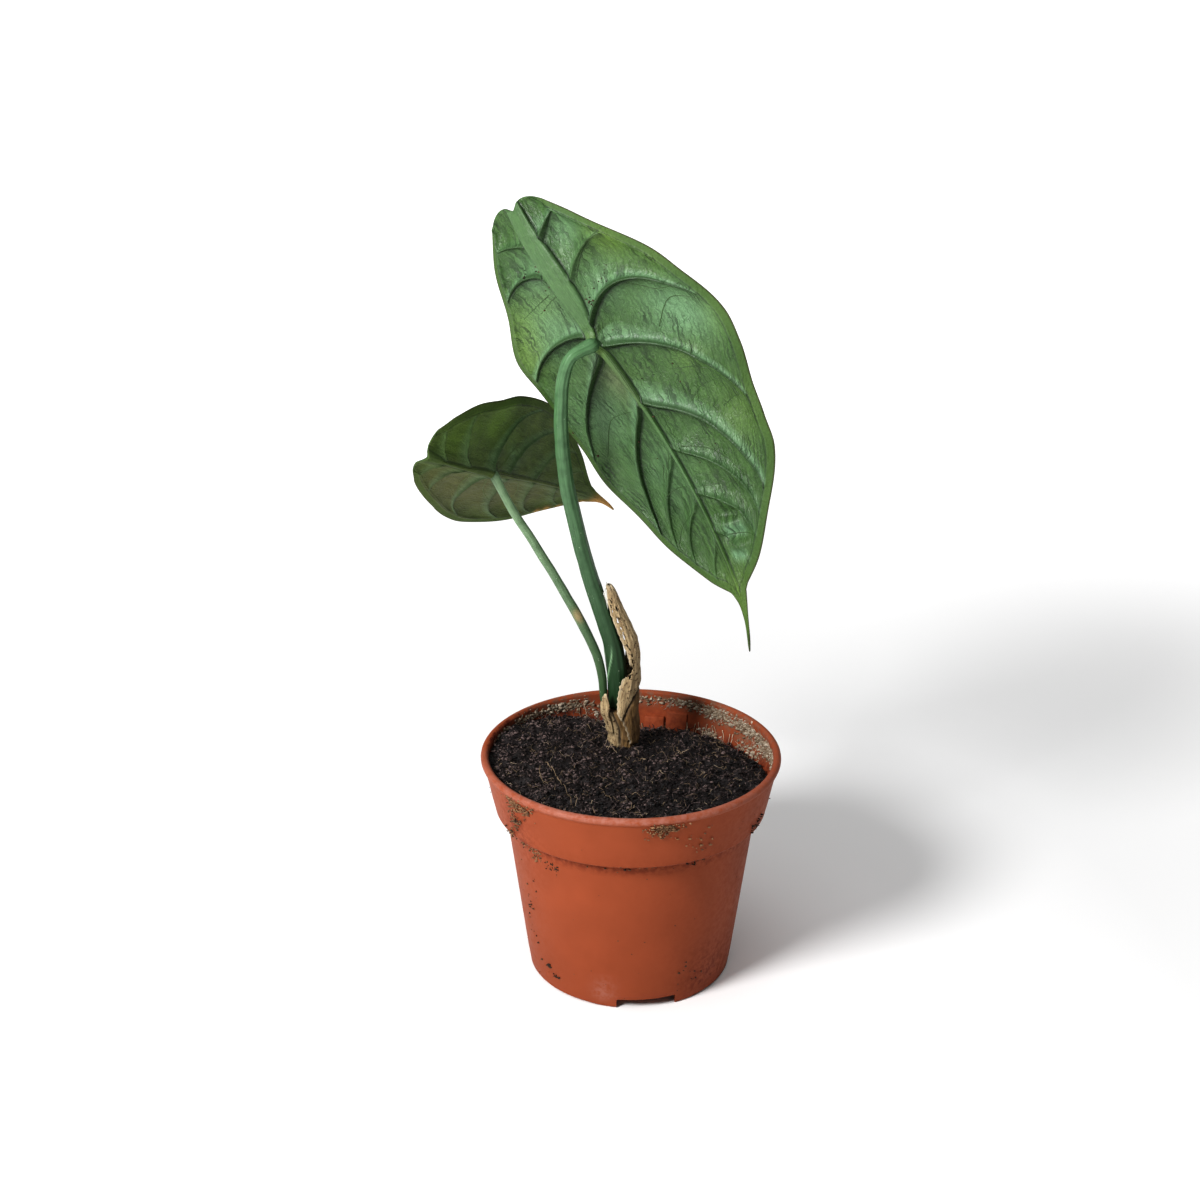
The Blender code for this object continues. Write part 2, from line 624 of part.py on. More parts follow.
def leaf_form(leaf, p):
    """Fold, cup and arch the flat leaf; p.z is the height above its upper face."""
    x, y, z = p
    over = max(x - leaf.front, 0.0)
    spread = math.sqrt(y * y + 9.0) - 3.0
    fold = math.radians(leaf.fold)
    lift = spread * math.sin(fold) + leaf.cup * y * y + z
    side = math.copysign(spread * math.cos(fold), y)
    side = blend(y, side, min(abs(y) / 6.0, 1.0))
    side += leaf.tip_hook * over ** 2 + leaf.sweep * max(x, 0.0) ** 2
    bend = leaf.arch_front if x > 0 else leaf.arch_back
    angle = bend * x + leaf.tip_curl * over ** 2
    ahead = math.sin(bend * x) / bend
    drop = (1.0 - math.cos(bend * x)) / bend + leaf.tip_curl * over ** 3 / 3.0
    return Vector((ahead + lift * math.sin(angle), side, lift * math.cos(angle) - drop))


def blade_rows(leaf):
    """Row numbers: the back edge, every vein with its flanks and panel, the apex, the tip."""
    last = len(leaf.veins_left)
    rows = [-1.0, -0.66, -0.33]
    for k in range(last):
        rows += [k, k + FLANK, k + 0.5, k + 1.0 - FLANK]
    return rows + [last, last + 0.16, last + 0.4, last + 0.7, last + 1.0]


def build_blade(name, leaf):
    bm = bmesh.new()
    rows = blade_rows(leaf)
    half = len(leaf.columns) + 3
    sheet = grid_sheet(bm, len(rows) - 1, 2 * half)
    depths = {}
    for i, v in enumerate(rows):
        for side in (-1, 1):
            for number, place in enumerate(half_row(leaf, side, v)):
                vert = sheet[i, half + side * number]
                rise, depth = relief(leaf, side, v, number, place)
                vert.co = (place.x, place.y, 0.0)
                depths[vert] = (rise, depth)
    bmesh.ops.remove_doubles(bm, verts=bm.verts, dist=0.02)
    bmesh.ops.triangulate(bm, faces=bm.faces)
    thickness = {}
    for vert in bm.verts:
        rise, depth = depths[vert]
        vert.co.z = rise
        thickness[vert] = depth
    thicken(bm, thickness)
    turn = leaf_turn(leaf)
    for vert in bm.verts:
        vert.co = turn @ leaf_form(leaf, vert.co) + Vector(leaf.seat)
    make_object(name, bm)


# Papery remains
def build_paper(name, table, columns, tooth):
    """A thin dry sheath that wraps part of the way round, with a torn front edge."""
    rng = random.Random(SEED)
    bottom = table[0][0]
    top = table[-1][0]
    rows = round((top - bottom) / SHEATH_STEP)
    tears = [rng.uniform(-tooth, tooth) for _ in range(rows + 1)]
    bm = bmesh.new()
    sheet = grid_sheet(bm, rows, columns)
    for (i, j), vert in sheet.items():
        vert.co = (i, j, 0.5 * PAPER)
    bmesh.ops.triangulate(bm, faces=bm.faces)
    thicken(bm, {vert: PAPER for vert in bm.verts})
    for vert in bm.verts:
        z = blend(bottom, top, vert.co.x / rows)
        share = vert.co.y / columns
        front = column(table, 5, z) + tears[round(vert.co.x)] * (1.0 - share)
        angle = math.radians(blend(front, column(table, 6, z), share))
        crease = 0.35 * abs(noise.noise(Vector((angle * 2.2, z / 9.0, SEED))))
        reach = vert.co.z + crease
        vert.co = (column(table, 1, z) + (column(table, 3, z) + reach) * math.cos(angle),
                   column(table, 2, z) + (column(table, 4, z) + reach) * math.sin(angle), z)
    make_object(name, bm)


def stand_on_origin():
    """Move everything so that the middle of the plant's footprint box is the origin."""
    bpy.context.view_layer.update()
    solids = [o for o in bpy.data.objects if not o.hide_render]
    points = [v.co for o in solids for v in o.data.vertices]
    middle_x = (min(p.x for p in points) + max(p.x for p in points)) / 2
    middle_y = (min(p.y for p in points) + max(p.y for p in points)) / 2
    for obj in bpy.data.objects:
        obj.location = (-middle_x, -middle_y, 0.0)


def main():
    for old in list(bpy.data.objects):
        bpy.data.objects.remove(old)
    build_pot()
    build_soil()
    build_corm()
    build_stalk("petiole_large", STALK_LARGE, LARGE, 16, KEEL)
    build_stalk("petiole_small", STALK_SMALL, SMALL, 12, 0.0)
    build_blade("blade_large", LARGE)
    build_blade("blade_small", SMALL)
    build_paper("dried_sheath", DRIED_SHEATH, SHEATH_COLUMNS, 5.0)
    build_paper("sheath_scrap", SHEATH_SCRAP, SCRAP_COLUMNS, 3.0)
    stand_on_origin()


main()
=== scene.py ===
"""Looks for the potted alocasia puncakborneensis, built round its packed frame.

Sizes are in millimetres from the pot's axis at its foot, +Z up, with the leaves' undersides
towards -Y. Each piece is turned to metres and moved to the pot's place when it is finished.
"""
import math
import random
from dataclasses import dataclass

import bmesh
import bpy
from bpy.props import FloatProperty, FloatVectorProperty, IntProperty, PointerProperty
from mathutils import Euler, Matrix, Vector, noise
from mathutils.bvhtree import BVHTree
from mathutils.geometry import barycentric_transform


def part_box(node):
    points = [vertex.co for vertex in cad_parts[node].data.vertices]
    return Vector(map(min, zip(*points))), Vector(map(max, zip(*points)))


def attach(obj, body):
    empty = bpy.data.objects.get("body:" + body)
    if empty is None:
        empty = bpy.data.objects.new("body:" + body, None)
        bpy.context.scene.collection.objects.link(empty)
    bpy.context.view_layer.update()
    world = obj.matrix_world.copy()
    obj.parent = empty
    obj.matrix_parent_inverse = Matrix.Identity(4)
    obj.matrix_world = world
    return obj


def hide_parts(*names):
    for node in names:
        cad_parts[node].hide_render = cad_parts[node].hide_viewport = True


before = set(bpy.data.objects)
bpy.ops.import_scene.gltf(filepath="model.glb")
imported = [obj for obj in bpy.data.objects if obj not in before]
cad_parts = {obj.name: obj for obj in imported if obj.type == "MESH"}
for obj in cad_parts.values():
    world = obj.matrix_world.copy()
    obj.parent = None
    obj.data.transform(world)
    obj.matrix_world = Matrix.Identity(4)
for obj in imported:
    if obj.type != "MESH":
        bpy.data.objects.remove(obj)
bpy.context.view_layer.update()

bl_info = {
    "name": "Potted Alocasia",
    "version": (1, 0, 0),
    "blender": (4, 5, 0),
    "location": "View3D > Sidebar > Alocasia",
    "description": "Finishes a potted alocasia puncakborneensis round its packed frame",
    "category": "Add Mesh",
}

MM = 0.001
POT_LOW, POT_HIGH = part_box("pot")
AXIS = Vector(((POT_LOW.x + POT_HIGH.x) / 2, (POT_LOW.y + POT_HIGH.y) / 2, POT_LOW.z))
POT_HEIGHT = (POT_HIGH.z - POT_LOW.z) / MM
LIP_RADIUS = (POT_HIGH.x - POT_LOW.x) / 2 / MM
SEED = 11
GAP = 0.3

# Pot: conical body, stepped collar with a rolled lip, raised floor on a notched foot ring
LIP_ROLL = 1.4
COLLAR_TOP_RADIUS = 51.4
COLLAR_FOOT_RADIUS = 47.7
COLLAR_HEIGHT = 20.5
COLLAR_LEAN = (COLLAR_TOP_RADIUS - COLLAR_FOOT_RADIUS) / (COLLAR_HEIGHT - 2 * LIP_ROLL)
LEDGE = POT_HEIGHT - COLLAR_HEIGHT
BODY_TOP_RADIUS = 44.2
BASE_RADIUS = 36.1
WALL = 1.3
FOOT_HEIGHT = 4.2
FOOT_WIDTH = 1.9
FLOOR = 5.5
CORNER = 0.9
NOTCHES = 3
NOTCH_WIDTH = 20.7
NOTCH_HEIGHT = 3.8
NOTCH_AZIMUTH = -80.4
FOOT_SPAN = 10.0
FOOT_DROP = 0.8
DRAINS = 8
DRAIN_RADIUS = 3.4
DRAIN_CIRCLE = 23.0
CENTRE_DRAIN_RADIUS = 5.0
SHARP_ANGLE = 38.0

# Stacking lugs inside the collar: azimuth, width, foot, top and how proud they stand
LUGS = ((79.3, 7.4, 60.0, 73.4, 1.9), (69.2, 8.2, 60.0, 75.6, 1.1))

# Soil: its height where it meets the wall, by azimuth in degrees, and its height inside
SOIL_EDGE = ((-180, 79.3), (-135, 78.3), (-90, 77.5), (-45, 77.0), (-15, 75.0), (10, 70.0),
             (32, 68.3), (53, 68.2), (77, 66.2), (90, 66.0), (104, 70.5), (123, 75.5),
             (153, 78.8), (180, 79.3))
SOIL_MIDDLE = 78.0
SOIL_REACH = 50.0
SOIL_STEPS = 150

# Loose fibres that the eye picks out on the soil: start, middle and end across the pot
LONG_FIBRES = (((-29.9, -3.4), (-24.1, -17.4), (-19.5, -33.1)),
               ((-23.1, 20.3), (-20.5, 24.0), (-18.2, 27.1)),
               ((-14.6, 12.2), (-12.5, 17.8), (-9.0, 20.6)), ((-8.8, 8.3), (-6.0, 8.0), (-4.2, 5.2)),
               ((-10.7, -22.4), (-8.0, -25.5), (-6.5, -30.3)),
               ((-31.5, -6.3), (-31.0, -14.0), (-28.1, -19.8)),
               ((13.8, 36.8), (16.5, 37.5), (18.9, 35.2)), ((28.9, 24.5), (31.0, 24.0), (33.8, 21.3)))

# Azimuths of the roots that hang down the inner wall
HANGING = (84.5, 66, 58, 56, 51, 49, 46, 33, 27, 25, 20, 112, 100, 75.5, 88, 62, 54, 41)

# Smallest and largest radius or length of the loose bits; long fibres and fine veins have one
STUCK_SIZE = (0.16, 0.5)
SPECK_SIZE = (0.12, 0.26)
RESIDUE_SIZE = (0.2, 0.8)
GRIT_SIZE = (0.14, 0.4)
CURL_RADIUS = (0.1, 0.24)
CURL_LENGTH = (1.2, 3.4)
FIBRE_RADIUS = (0.06, 0.12)
FIBRE_LENGTH = (1.5, 6.0)
ROOT_RADIUS = (0.11, 0.18)
ROOT_LENGTH = (3.0, 6.5)
LONG_FIBRE_RADIUS = 0.13
BRANCH_RADIUS = 0.2

# Radii of the soil's crumbs as shares of their spacing
CRUMB_SHARES = (0.26, 0.32, 0.38, 0.45, 0.55, 0.66)

# How far in from the pot's inner wall the residue has its middle
RESIDUE_PROUD = 0.12

# Residue on the pot's inner wall: azimuth, height, half widths in degrees and mm, and amount
RESIDUE = ((120, 79.2, 12, 2.2, 110), (140, 80.0, 10, 1.6, 60), (158, 79.8, 8, 1.2, 25),
           (66, 79.6, 11, 1.6, 110), (50, 79.0, 7, 2.6, 110), (33, 78.6, 9, 2.4, 120),
           (16, 77.6, 9, 2.6, 110), (2, 78.6, 7, 1.6, 60), (52, 69.5, 6, 1.8, 40),
           (84, 79.5, 6, 1.5, 14), (28, 72.0, 9, 2.6, 22), (105, 74.5, 7, 2.0, 16))

# Crumbs stuck to the pot's outside: azimuth, height, half widths, amount and tone
STUCK = ((-137, 78.0, 6.5, 2.6, 90, 0.75), (-141, 70.5, 3.0, 3.0, 26, 0.6),
         (-146, 62.0, 4.0, 4.0, 26, 0.7), (-137, 57.5, 4.5, 2.4, 34, 0.7),
         (-127, 54.5, 4.0, 2.4, 16, 0.2), (-78, 78.6, 6.0, 1.5, 95, 0.8),
         (-79, 75.6, 4.0, 1.6, 24, 0.7), (-64, 70.0, 8.0, 5.0, 12, 0.9), (-28, 65.5, 4.0, 2.0, 20, 0.05),
         (-139, 9.8, 1.6, 1.0, 12, 0.05), (-134, 6.7, 2.0, 0.8, 8, 0.05), (-60, 59.5, 8.0, 1.4, 10, 0.1),
         (-150, 35.0, 8.0, 25.0, 14, 0.2), (-90, 60.6, 22.0, 0.8, 26, 0.4), (-58, 12.0, 12.0, 6.0, 8, 0.1))

# Corm: the papery brown neck that both stalks stand on
CORM = ((65.0, -3.0, 15.5, 4.2), (70.0, -3.0, 15.5, 5.0), (78.0, -3.1, 15.5, 5.2),
        (84.0, -3.2, 15.5, 5.0), (88.0, -4.2, 15.4, 4.9), (91.4, -5.4, 15.3, 4.9))

CORM_SIDES = 96
CORM_STEPS = 80

# The open seam down the front of the corm, as azimuth by height
CORM_SEAM = ((76.0, -97.0), (82.0, -101.0), (86.0, -100.0), (92.0, -108.0))

# Stalks: x, y, z and radius along each one, from the corm to the seat under its blade
STALK_LARGE = ((-4.9, 15.7, 91.7, 2.9), (-4.9, 15.5, 97.0, 3.1), (-5.0, 15.2, 105.0, 3.35),
               (-6.2, 14.9, 114.2, 3.3), (-8.4, 14.6, 122.4, 3.15), (-10.9, 14.3, 130.1, 3.0),
               (-14.1, 14.0, 140.3, 2.8), (-17.0, 13.5, 151.0, 2.7), (-19.9, 13.0, 163.9, 2.65),
               (-22.1, 12.4, 174.5, 2.55), (-23.4, 11.9, 185.5, 2.45), (-24.0, 11.0, 196.0, 2.35),
               (-23.8, 9.6, 205.0, 2.25), (-22.9, 8.0, 213.6, 2.15), (-20.2, 7.0, 220.6, 2.05))
STALK_SMALL = ((-9.3, 14.7, 91.7, 1.25), (-9.8, 14.6, 96.6, 1.4), (-10.3, 14.3, 103.5, 1.5),
               (-11.9, 14.0, 111.3, 1.6), (-15.0, 14.0, 119.0, 1.65), (-19.1, 14.0, 127.6, 1.7),
               (-22.4, 14.0, 133.7, 1.6), (-26.4, 14.0, 141.2, 1.55), (-30.8, 13.8, 148.8, 1.55),
               (-35.0, 13.5, 156.3, 1.5), (-39.1, 13.1, 163.0, 1.5), (-42.6, 12.8, 169.6, 1.45))
STALK_STEP = 1.3
SEAT_SINK = 0.7

# Healed wound on the small stalk: height and half width, then place round the stalk and half
# width as shares of the way round
STALK_SCAR = (127.4, 1.9, 0.80, 0.16)

# Edges of the large stalk's sheath: height and place round the stalk, 0.5 being its left side
SHEATH_EDGES = (((98.0, 0.50), (105.0, 0.57), (112.0, 0.69), (117.0, 0.74)),
                ((98.0, 0.50), (106.0, 0.49), (118.0, 0.49)))

# Papery remains: height, centre, radii across and along Y, and the arc from front to back
DRIED_SHEATH = ((79.5, -3.1, 15.5, 5.95, 5.95, -62, 55), (86.0, -3.3, 15.5, 5.9, 5.9, -78, 66),
                (91.5, -3.8, 15.5, 6.0, 6.0, -99, 80), (95.0, -3.4, 15.5, 5.7, 5.4, -105, 92),
                (100.6, -2.7, 15.5, 5.5, 5.3, -106, 98), (105.0, -2.1, 15.5, 5.0, 5.2, -98, 98),
                (109.0, -1.8, 15.5, 4.5, 4.9, -76, 96), (114.0, -1.6, 15.4, 4.1, 4.5, -90, 96),
                (118.4, -2.4, 15.3, 4.1, 4.2, -104, 98), (123.4, -4.1, 15.1, 3.8, 3.9, -108, 100),
                (128.5, -5.8, 14.9, 3.1, 3.2, -116, 112), (133.0, -6.7, 14.7, 2.1, 2.1, -132, 125),
                (136.8, -7.5, 14.5, 1.4, 1.4, -140, 130), (138.6, -8.1, 14.4, 0.8, 0.8, -140, 130))
SHEATH_SCRAP = ((83.5, -3.2, 15.5, 5.7, 5.7, -156, -122), (87.0, -3.9, 15.4, 5.8, 5.8, -152, -120),
                (91.0, -5.4, 15.2, 5.9, 5.9, -150, -114), (94.0, -6.0, 15.0, 5.7, 5.3, -144, -106),
                (97.0, -6.1, 14.9, 5.3, 5.1, -136, -112), (98.8, -6.2, 14.8, 5.0, 5.0, -128, -118))
PAPER = 0.55

# Holes worn in the dried sheath: height, place along its arc, half height and half width
WORN_HOLES = ((107.5, 0.0, 2.4, 0.10), (130.5, 0.22, 0.9, 0.03), (127.0, 0.17, 0.6, 0.02))

# The crease where the dried sheath lies over the corm, sunk and painted in shade, as height by azimuth
SHEATH_FOOT = ((-100.0, 85.0), (-75.0, 90.5), (-42.0, 97.0), (0.0, 99.5), (90.0, 99.0))

# Blades
BLADE = 0.6
EDGE_INSET = 3.2
SLIM = 2.3
WAVE_LENGTH = 27.0
VEIN_LIFT = ((-20.0, 0.52), (-4.0, 0.56), (3.0, 0.8), (25.0, 1.0), (60.0, 1.0))
MIDRIB = ((0.0, 2.4), (12.0, 2.1), (25.0, 1.3), (50.0, 0.95), (96.0, 0.6))
MIDRIB_HEIGHT = ((0.0, 1.3), (25.0, 0.9), (60.0, 0.6), (96.0, 0.35))
COSTA_LEFT = ((-52.0, 8.0), (-43.0, 5.6), (-34.0, 4.4), (-22.0, 3.0), (-10.0, 1.6), (-2.0, 2.0),
              (0.0, 2.4))
COSTA_RIGHT = ((-52.0, 5.0), (-42.0, 6.0), (-32.0, 7.6), (-21.0, 8.4), (-12.0, 7.6), (-3.0, 4.0),
               (0.0, 2.4))
COSTA_HEIGHT = ((-52.0, 0.35), (-30.0, 0.7), (-8.0, 0.9), (0.0, 1.3))
AXIS_COLUMNS = 10
LAMINA_COLUMNS = 52
MARGIN_COLUMNS = 4
PANEL_ROWS = 24
LOBE_ROWS = 16
TIP_ROWS = 16

# Ripples on the right half by the tip: middle, reach each way, height and length
RIPPLE_MIDDLE = (77.0, -8.0)
RIPPLE_REACH = (9.0, 6.0)
RIPPLE_HEIGHT = 1.7
RIPPLE_LENGTH = 8.0
RIPPLE_START = 67.6


@dataclass
class Leaf:
    """One blade: x runs from the stalk's seat to the tip, y to the leaf's left, z up."""

    seat: tuple
    turn: tuple
    front: float
    back: float
    tip: float
    notch: float
    fold: float
    arch_front: float
    arch_back: float
    cup: float
    sweep: float
    tip_hook: float
    tip_curl: float
    lobes: tuple
    stations: tuple
    left: tuple
    right: tuple
    veins_left: tuple
    veins_right: tuple
    strength_left: tuple
    strength_right: tuple
    midrib: float
    seat_depth: float
    rib: float
    quilt: float
    wave: float


# A vein is where it leaves the midrib, where it joins the edge vein, and how far back it bows
LARGE = Leaf(
    seat=(-12.0, 12.0, 224.8), turn=(-65.1, 50.7, -5.9),
    front=95.9, back=51.5, tip=22.0, notch=3.0,
    fold=5.5, arch_front=0.0046, arch_back=-0.0075, cup=0.0009, sweep=0.0003,
    tip_hook=0.0213, tip_curl=-0.0025, lobes=(4.9, 2.3),
    stations=(-47.9, -38.6, -23.2, -7.7, 14.4, 26.0, 38.4, 49.0, 59.5, 76.7, 88.2, 95.9),
    left=(18.5, 24.1, 31.6, 40.3, 40.6, 40.9, 40.2, 37.0, 32.5, 23.2, 14.2, 4.6),
    right=(14.2, 21.9, 33.5, 41.6, 46.6, 45.3, 40.8, 39.2, 36.6, 24.4, 14.2, 3.4),
    veins_left=((-38, -43, -42), (-26, -28, -34), (-3, 0, -11), (4, 33, 15),
                (25, 66, 39), (45, 74, 56), (62, 81, 68), (77, 89, 82)),
    veins_right=((-38, -43, -41), (-21, -28, -30), (-6, 6, -23), (2, 41, 10),
                 (25, 69, 39), (43, 76, 55), (60, 82, 67), (74, 89, 79)),
    strength_left=(0.35, 0.9, 1.0, 1.0, 1.0, 0.4, 0.35, 0.3),
    strength_right=(0.9, 0.4, 1.1, 1.1, 1.0, 0.4, 0.35, 0.3),
    midrib=2.8, seat_depth=3.0, rib=1.1, quilt=3.0, wave=0.5)
SMALL = Leaf(
    seat=(-48.0, 15.0, 178.6), turn=(-62.4, 19.3, 64.4),
    front=70.7, back=37.4, tip=14.0, notch=2.0,
    fold=23.8, arch_front=0.0028, arch_back=-0.0073, cup=0.0, sweep=0.0001,
    tip_hook=0.0101, tip_curl=0.0007, lobes=(2.0, 0.4),
    stations=(-34.8, -28.0, -16.8, -5.6, 10.6, 28.3, 43.8, 56.6, 65.0, 70.7),
    left=(11.0, 16.0, 21.5, 25.6, 30.9, 32.4, 26.6, 17.0, 8.6, 3.4),
    right=(12.2, 18.2, 23.8, 27.2, 30.3, 30.4, 24.4, 16.2, 8.4, 3.2),
    veins_left=((-28, -31, -30), (-16, -19, -25), (-1, 14, -8), (12, 38, 20),
                (30, 50, 39), (45, 59, 51)),
    veins_right=((-28, -31, -30), (-15, -17, -21), (0, 24, 1), (11, 42, 20),
                 (29, 52, 38), (44, 60, 51)),
    strength_left=(0.3, 0.4, 0.6, 0.5, 0.4, 0.3),
    strength_right=(0.3, 0.4, 0.6, 0.5, 0.4, 0.3),
    midrib=1.9, seat_depth=2.2, rib=0.6, quilt=1.7, wave=0.4)

# Finer veins that the eye can follow between the ribs, as places along and across each blade
LARGE_BRANCHES = (
    ((-20.9, -10.4), (-26.0, -16.6), (-28.1, -21.6), (-28.9, -29.6)),
    ((-10.0, -24.4), (-5.1, -28.5), (-2.2, -31.5), (-0.1, -37.6), (0.1, -41.4)),
    ((7.9, -23.4), (3.9, -28.6), (2.5, -32.8), (3.6, -36.0), (7.0, -40.5), (11.0, -43.5)),
    ((17.0, -29.4), (20.1, -28.5), (24.9, -26.6), (28.0, -29.4), (34.3, -32.0), (39.7, -34.0),
     (45.4, -37.0)),
    ((24.9, -26.6), (23.1, -21.6), (21.1, -17.4)),
    ((33.3, -17.9), (31.1, -22.4), (31.1, -26.6), (32.1, -30.4)),
    ((40.1, -26.6), (39.4, -31.0), (39.7, -34.0)),
    ((46.4, 11.0), (55.1, 18.5), (57.6, 18.1), (63.1, 23.5)),
    ((56.6, 18.0), (55.4, 12.0), (56.5, 5.5)), ((72.0, 21.0), (67.6, 17.9), (65.6, 11.0), (65.3, 6.0)),
    ((43.9, -5.5), (48.0, -12.5), (54.0, -17.6), (61.7, -21.0), (70.1, -24.5)),
    ((59.0, -5.5), (62.3, -15.0), (65.6, -21.0), (70.8, -24.6)),
    ((34.6, 33.0), (26.9, 25.5), (24.6, 21.1), (25.9, 9.5)),
    ((-21.4, 9.0), (-21.0, 16.6), (-20.0, 26.4)), ((-19.5, 4.5), (-19.1, 11.5), (-18.0, 18.6)),
    ((44.0, 4.0), (50.0, 12.0), (57.0, 18.0)), ((77.0, -6.0), (79.5, -13.0), (82.0, -17.0)))
SMALL_BRANCHES = (
    ((4.0, 6.0), (10.0, 12.0), (19.0, 17.0), (27.0, 18.0)), ((24.0, 5.0), (30.0, 10.0), (36.0, 17.0)),
    ((-10.0, 4.0), (-6.0, 12.0), (2.0, 20.0)), ((8.0, -6.0), (14.0, -12.0), (22.0, -16.0)))

# Grit on the large blade's underside: place along and across, spread and amount
LEAF_GRIT = ((-32, 13, 1.5, 4), (-30, 7, 2.0, 6), (-12, -10, 2.0, 12), (-16, -17, 3.5, 12),
             (-18, -21, 0.4, 1), (0, -9, 0.4, 1), (20, -19, 0.4, 1), (26, -18, 0.4, 1),
             (52, -9, 0.4, 1), (-20, 4, 9.0, 6), (40, -22, 22.0, 10), (30, 15, 20.0, 6))

# Camera and lights: their places from the pot's foot, the camera's downward pitch and its turn,
# and how wide the overhead light seems from the plant
CAMERA_PLACE = (0.0, -567.6, 360.6)
CAMERA_PITCH = 0.373
CAMERA_TURN = 0.019
KEY_PLACE = (-436.0, -436.0, 531.0)
ROOF_WIDTH = 1.15


# Curves and tables
def smooth(table, x):
    """Value at x on a smooth curve through (x, value) pairs."""
    last = len(table) - 1
    if x <= table[0][0]:
        return table[0][1]
    if x >= table[last][0]:
        return table[last][1]
    i = max(k for k in range(last) if table[k][0] <= x)
    slopes = []
    for k in (i, i + 1):
        before = table[max(k - 1, 0)]
        after = table[min(k + 1, last)]
        slopes.append((after[1] - before[1]) / (after[0] - before[0]))
    span = table[i + 1][0] - table[i][0]
    t = (x - table[i][0]) / span
    rise = t * t * (3 - 2 * t)
    return (table[i][1] * (1 - rise) + table[i + 1][1] * rise
            + span * (t * (1 - t) ** 2 * slopes[0] - t * t * (1 - t) * slopes[1]))


def column(rows, key, x):
    """One column of a table of rows, read smoothly at height or length x."""
    return smooth([(row[0], row[key]) for row in rows], x)


def blend(a, b, t):
    return a + (b - a) * t


def bezier(start, pull, end, t):
    return start * (1 - t) ** 2 + pull * 2 * t * (1 - t) + end * t * t


def swell(distance, width):
    """A soft rise that is 1 at no distance and fades over a width."""
    return math.exp(-(distance / width) ** 2)


def clamp(x, low=0.0, high=1.0):
    return max(low, min(high, x))


def polar(radius, angle, z=0.0):
    """A point at a radius and an angle in radians round an upright axis."""
    return Vector((radius * math.cos(angle), radius * math.sin(angle), z))


def hex_colour(code):
    """Turn an sRGB hex colour into the linear RGB that Blender uses."""
    channels = [int(code[i:i + 2], 16) / 255 for i in (0, 2, 4)]
    return tuple(c / 12.92 if c <= 0.04045 else ((c + 0.055) / 1.055) ** 2.4 for c in channels)


def rgba(colour):
    return (*colour, 1.0)


# Mesh helpers
def grown_verts(result):
    """The vertices that an extrusion has made."""
    return [g for g in result["geom"] if isinstance(g, bmesh.types.BMVert)]


def finish_mesh(name, bm):
    """Turn a bmesh into a mesh and free it."""
    mesh = bpy.data.meshes.new(name)
    bm.to_mesh(mesh)
    bm.free()
    return mesh


def show(name, data):
    """Add an object to the scene."""
    thing = bpy.data.objects.new(name, data)
    bpy.context.scene.collection.objects.link(thing)
    return thing


def loft(bm, rings):
    """Skin a list of equal rings of points into a closed tube with flat ends."""
    first = [bm.verts.new(p) for p in rings[0]]
    made = list(first)
    edges = [bm.edges.new((a, b)) for a, b in zip(first, first[1:] + first[:1])]
    bmesh.ops.contextual_create(bm, geom=edges)
    for ring in rings[1:]:
        grown = bmesh.ops.extrude_edge_only(bm, edges=edges)
        verts = grown_verts(grown)
        edges = [g for g in grown["geom"] if isinstance(g, bmesh.types.BMEdge)
                 and all(v in verts for v in g.verts)]
        for vert, point in zip(verts, ring):
            vert.co = point
        made += verts
    bmesh.ops.contextual_create(bm, geom=edges)
    return made


def grid_sheet(bm, rows, columns):
    """A flat grid whose vertices are returned as {(row, column): vertex}."""
    bmesh.ops.create_grid(bm, x_segments=columns, y_segments=rows, size=0.5)
    found = {}
    for vert in bm.verts:
        i = round((vert.co.y + 0.5) * rows)
        j = round((vert.co.x + 0.5) * columns)
        found[i, j] = vert
    return found


def new_piece(name, bm, material, replaced=()):
    """Move a millimetre bmesh to its place in the frame as a finished piece."""
    bmesh.ops.scale(bm, vec=(MM, MM, MM), verts=bm.verts)
    bmesh.ops.translate(bm, vec=AXIS, verts=bm.verts)
    mesh = finish_mesh(name, bm)
    mesh.materials.append(material)
    mesh.shade_smooth()
    piece = show(name, mesh)
    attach(piece, "root")
    if replaced:
        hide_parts(*replaced)
    return piece


def gather(parts):
    """Join small bmeshes into one; many small ones are far quicker to fill than one big one."""
    whole = bmesh.new()
    for part in parts:
        mesh = finish_mesh("part", part)
        whole.from_mesh(mesh)
        bpy.data.meshes.remove(mesh)
    return whole


def crumb(bm, rng, place, size, tone):
    """One rough lump at a place, its corners pulled in and out."""
    turn = Euler([rng.uniform(0, math.tau) for _ in range(3)]).to_matrix().to_4x4()
    made = bmesh.ops.create_icosphere(bm, subdivisions=1, radius=size, matrix=turn)["verts"]
    stretch = Vector((rng.uniform(0.6, 1.7), rng.uniform(0.6, 1.2), rng.uniform(0.5, 1.0)))
    layer = bm.verts.layers.float["tone"]
    for vert in made:
        vert.co = vert.co * stretch * rng.uniform(0.6, 1.25) + place
        vert[layer] = tone


def toned_bmesh():
    """An empty bmesh whose vertices can carry a tone from dark to pale."""
    bm = bmesh.new()
    bm.verts.layers.float.new("tone")
    return bm


def fibre(bm, points, radius, tone, sides=4):
    """A thin root or fibre along a list of points, tapering to its end."""
    rings = []
    for i, point in enumerate(points):
        ahead = points[min(i + 1, len(points) - 1)] - points[max(i - 1, 0)]
        turn = ahead.to_track_quat("Z", "Y")
        taper = radius * (1.0 - 0.6 * i / (len(points) - 1))
        rings.append([point + turn @ (taper * polar(1.0, math.tau * k / sides))
                      for k in range(sides)])
    layer = bm.verts.layers.float["tone"]
    for vert in loft(bm, rings):
        vert[layer] = tone


